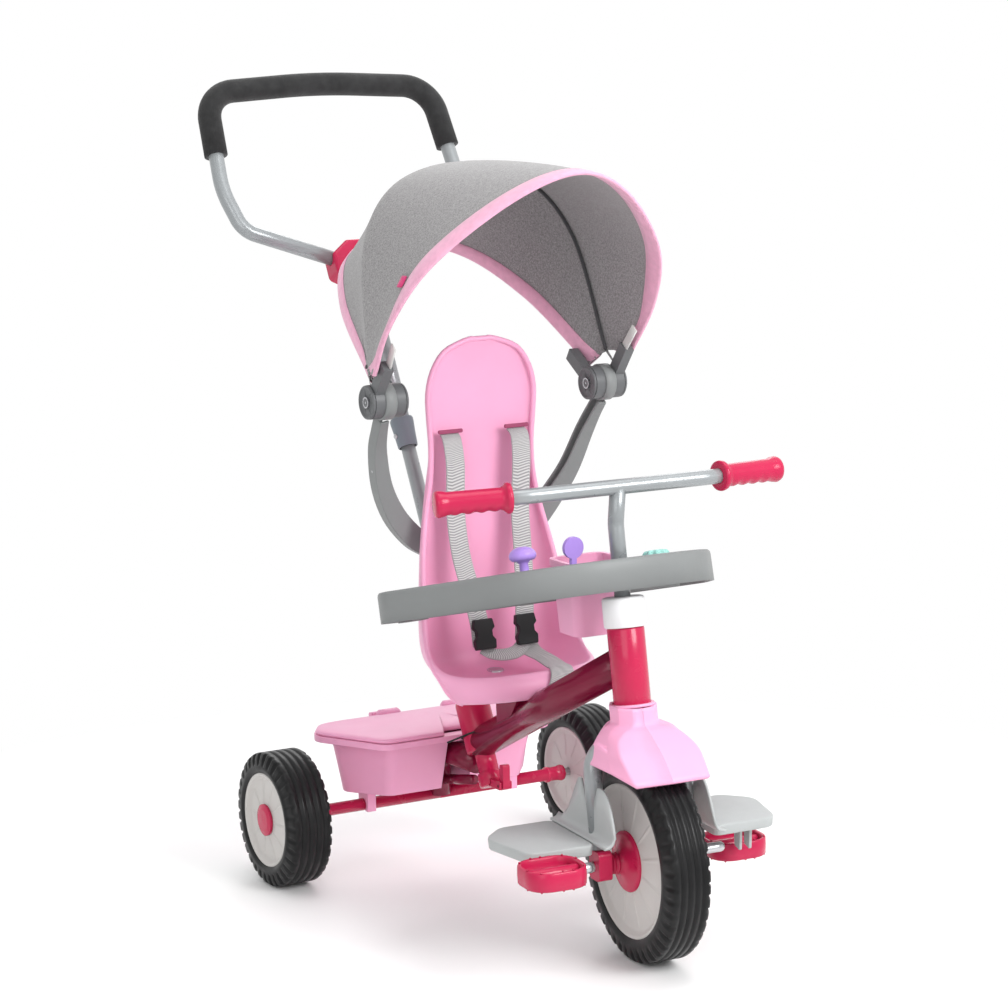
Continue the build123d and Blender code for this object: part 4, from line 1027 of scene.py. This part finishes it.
def tray():
    """Wrap-round tray: a rolled rim over a sunk deck, with a skirt and a round hole for the stem."""
    outer = [(0, -196), (66, -188), (118, -160), (158, -108), (190, -52), (213, -8), (223, 16), (212, 46), (180, 72),
             (140, 106), (137, 150)]
    inner = [(0, -52), (36, -50), (66, -46), (98, -36), (132, -18), (164, -2), (184, 12), (178, 32), (160, 54),
             (126, 96), (123, 150)]
    lines = []
    for points in (outer, inner):
        lines.append(through([Vector((x, y, 0)) for x, y in mirrored(points)], 6))
    rows = []
    for far, near in zip(*lines):
        way = (near - far).normalized()
        room = (near - far).length
        rim = min(4.5, room * 0.3)
        deck = min(12.0, room * 0.6)
        section = [(0, -36), (0, -4), (0.6, -1.6), (1.8, -0.3), (rim, 0), (rim + 0.9, -1.2), (rim + 1.2, -3)]
        sunk = [(rim + 1.3, -deck + 1.2), (rim + 2.0, -deck)]
        section += sunk if room > 22 else [(rim + 1.25, -3.1), (rim + 1.3, -3.2)]
        flat = [far + way * a + Vector((0, 0, b)) for a, b in section]
        back = [near - way * a + Vector((0, 0, b)) for a, b in section]
        whole = flat + [flat[-1].lerp(back[-1], k / 8) for k in range(1, 8)] + back[::-1]
        rows.append([tray_point(p.x, p.y, p.z) for p in whole])
    for k in (0, -1):
        far, near = rows[k][0], rows[k][-1]
        end = [far.lerp(near, j / (len(rows[k]) - 1)) for j in range(len(rows[k]))]
        rows = [end] + rows if k == 0 else rows + [end]
    made = surface("tray_skin", rows, grey)
    stem = on_steerer(450)
    cutter = spun("cutter", [(-60, 0.1), (-60, 15), (60, 15), (60, 0.1)], stem, steer_axis, grey, 48)
    hole = made.modifiers.new("hole", "BOOLEAN")
    hole.object = cutter
    hole.operation = "DIFFERENCE"
    settled(made)
    bpy.data.objects.remove(cutter)
    finished(thicken(made, 0.0026), "frame", "grey_plastic", "tray")
    hooks = []
    for side in (-1, 1):
        lug = [(0, -9), (26, -9), (26, 9), (4, 9), (0, 5)]
        hooks.append(plate("hook", lug if side > 0 else lug[::-1], at(side * 99, 2, 376), (side, 0, 0), (0, 0, 1),
                           9, grey, 0.0012, 1.5))
    finished(join("tray_hooks", hooks), "frame", "grey_plastic")


def small_fittings():
    """Cable tie round the socket, with its tail."""
    post = (on_post(1) - on_post(0)).normalized()
    ring = [on_post(-50) + Vector((math.cos(a), -math.sin(a) * post.z, math.sin(a) * post.y)) * 0.0236
            for a in [2 * math.pi * k / 40 for k in range(41)]]
    tie = pipe("tie", ring, 1.2, black, post, 8)
    tail = pipe("tail", through([ring[18], ring[18] + Vector((-0.010, 0.004, -0.004)),
                                 ring[18] + Vector((-0.022, 0.012, -0.010))], 6), 1.3, black, (0, 1, 0), 8)
    finished(join("cable_tie", [tie, tail]), "frame", "black_plastic")


# ---- canopy hubs ----------------------------------------------------------------------------------
def hub_faces():
    """Recessed spoked caps on the canopy hubs, with a screw in the middle."""
    for side, word in SIDES:
        centre = at(side * CANOPY_HUB[0], CANOPY_HUB[1], CANOPY_HUB[2])

        def reach(along, r, angle):
            spoke = max(0.0, 1 - abs(((angle / (2 * math.pi) * 6) % 1) - 0.5) * 2 / 0.2)
            return (along + 2.2 * spoke if 6 < r < 15 else along), r

        for face, out in (("outer", 1), ("inner", -1)):
            profile = [(21.2, 20.8), (23.4, 20.6), (24.2, 19.6), (24.2, 18.2), (22.6, 17.2), (21.9, 15), (21.9, 6.4),
                       (24.4, 6), (25.2, 5), (25.2, 1.6), (24.2, 1.2), (24.2, 0.1)]
            made = spun(f"canopy_hub_{face}_{word}", profile, centre, (side * out, 0, 0), dark_grey, reach=reach)
            finished(made, "frame", "dark_grey_plastic")


# ---- studio ---------------------------------------------------------------------------------------
def studio():
    """Floor, a world that is white above and behind the camera and greyer opposite, and four soft lights."""
    corners = [(x * FLOOR_HALF, y * FLOOR_HALF, -0.0005) for x, y in ((-1, -1), (1, -1), (1, 1), (-1, 1))]
    floor = new_piece("floor", corners, [(0, 1, 2, 3)], floor_paint("floor"))
    world = bpy.data.worlds.new("studio")
    bpy.context.scene.world = world
    world.use_nodes = True
    background = world.node_tree.nodes["Background"]
    background.inputs["Strength"].default_value = 1.0
    tree = world.node_tree
    place = tree.nodes.new("ShaderNodeTexCoord")
    split = tree.nodes.new("ShaderNodeSeparateXYZ")
    tree.links.new(place.outputs["Generated"], split.inputs[0])
    lean = tree.nodes.new("ShaderNodeMath")
    lean.operation = "MULTIPLY_ADD"
    lean.inputs[1].default_value = 0.75
    tree.links.new(split.outputs[1], lean.inputs[0])
    tree.links.new(split.outputs[0], lean.inputs[2])
    shade_ramp = tree.nodes.new("ShaderNodeValToRGB")
    shade_ramp.color_ramp.elements[0].position = 0.0
    shade_ramp.color_ramp.elements[0].color = (0.6, 0.6, 0.6, 1)
    shade_ramp.color_ramp.elements[1].position = 0.75
    shade_ramp.color_ramp.elements[1].color = (1, 1, 1, 1)
    spread = tree.nodes.new("ShaderNodeMapRange")
    spread.inputs["From Min"].default_value = -1.0
    spread.inputs["From Max"].default_value = 1.1
    tree.links.new(lean.outputs[0], spread.inputs["Value"])
    tree.links.new(spread.outputs[0], shade_ramp.inputs[0])
    tree.links.new(shade_ramp.outputs[0], background.inputs["Color"])
    lights = (("key", (1.0, -3.0, 2.2), 1.5, 88), ("fill", (-2.4, -2.4, 1.6), 2.0, 24),
              ("top", (0.3, -0.4, 3.4), 1.8, 24), ("rim", (1.6, 2.6, 2.2), 1.6, 18))
    for name, place, size, power in lights:
        data = bpy.data.lights.new(name, "AREA")
        data.size = size
        data.energy = power
        light = bpy.data.objects.new(name, data)
        light.location = place
        light.rotation_euler = (Vector((0, 0, 0.45)) - Vector(place)).to_track_quat("-Z", "Y").to_euler()
        bpy.context.scene.collection.objects.link(light)


def camera():
    """Camera at the viewing angle."""
    azimuth, elevation, roll = map(math.radians, VIEW_ANGLES)
    back = Vector((math.sin(azimuth) * math.cos(elevation), -math.cos(azimuth) * math.cos(elevation),
                   math.sin(elevation)))
    right = (-back).cross(Vector((0, 0, 1))).normalized()
    up = right.cross(-back)
    turned_right = right * math.cos(roll) + up * math.sin(roll)
    turned_up = up * math.cos(roll) - right * math.sin(roll)
    data = bpy.data.cameras.new("camera")
    data.sensor_width = 36.0
    data.lens = LENS
    made = bpy.data.objects.new("camera", data)
    bpy.context.scene.collection.objects.link(made)
    basis = Matrix((turned_right, turned_up, back)).transposed().to_4x4()
    made.matrix_world = Matrix.Translation(Vector(VIEW_PLACE)) @ basis
    bpy.context.scene.camera = made


camera()
studio()
seat()
harness()
canopy()
frame_tubes()
canopy_arms()
push_handle()
front_tubes()
fender()
footrests()
bin_lid()
pedals()
tray()
small_fittings()
wheels()
grips()
toys()
hub_faces()
bpy.context.scene.view_settings.view_transform = "Standard"
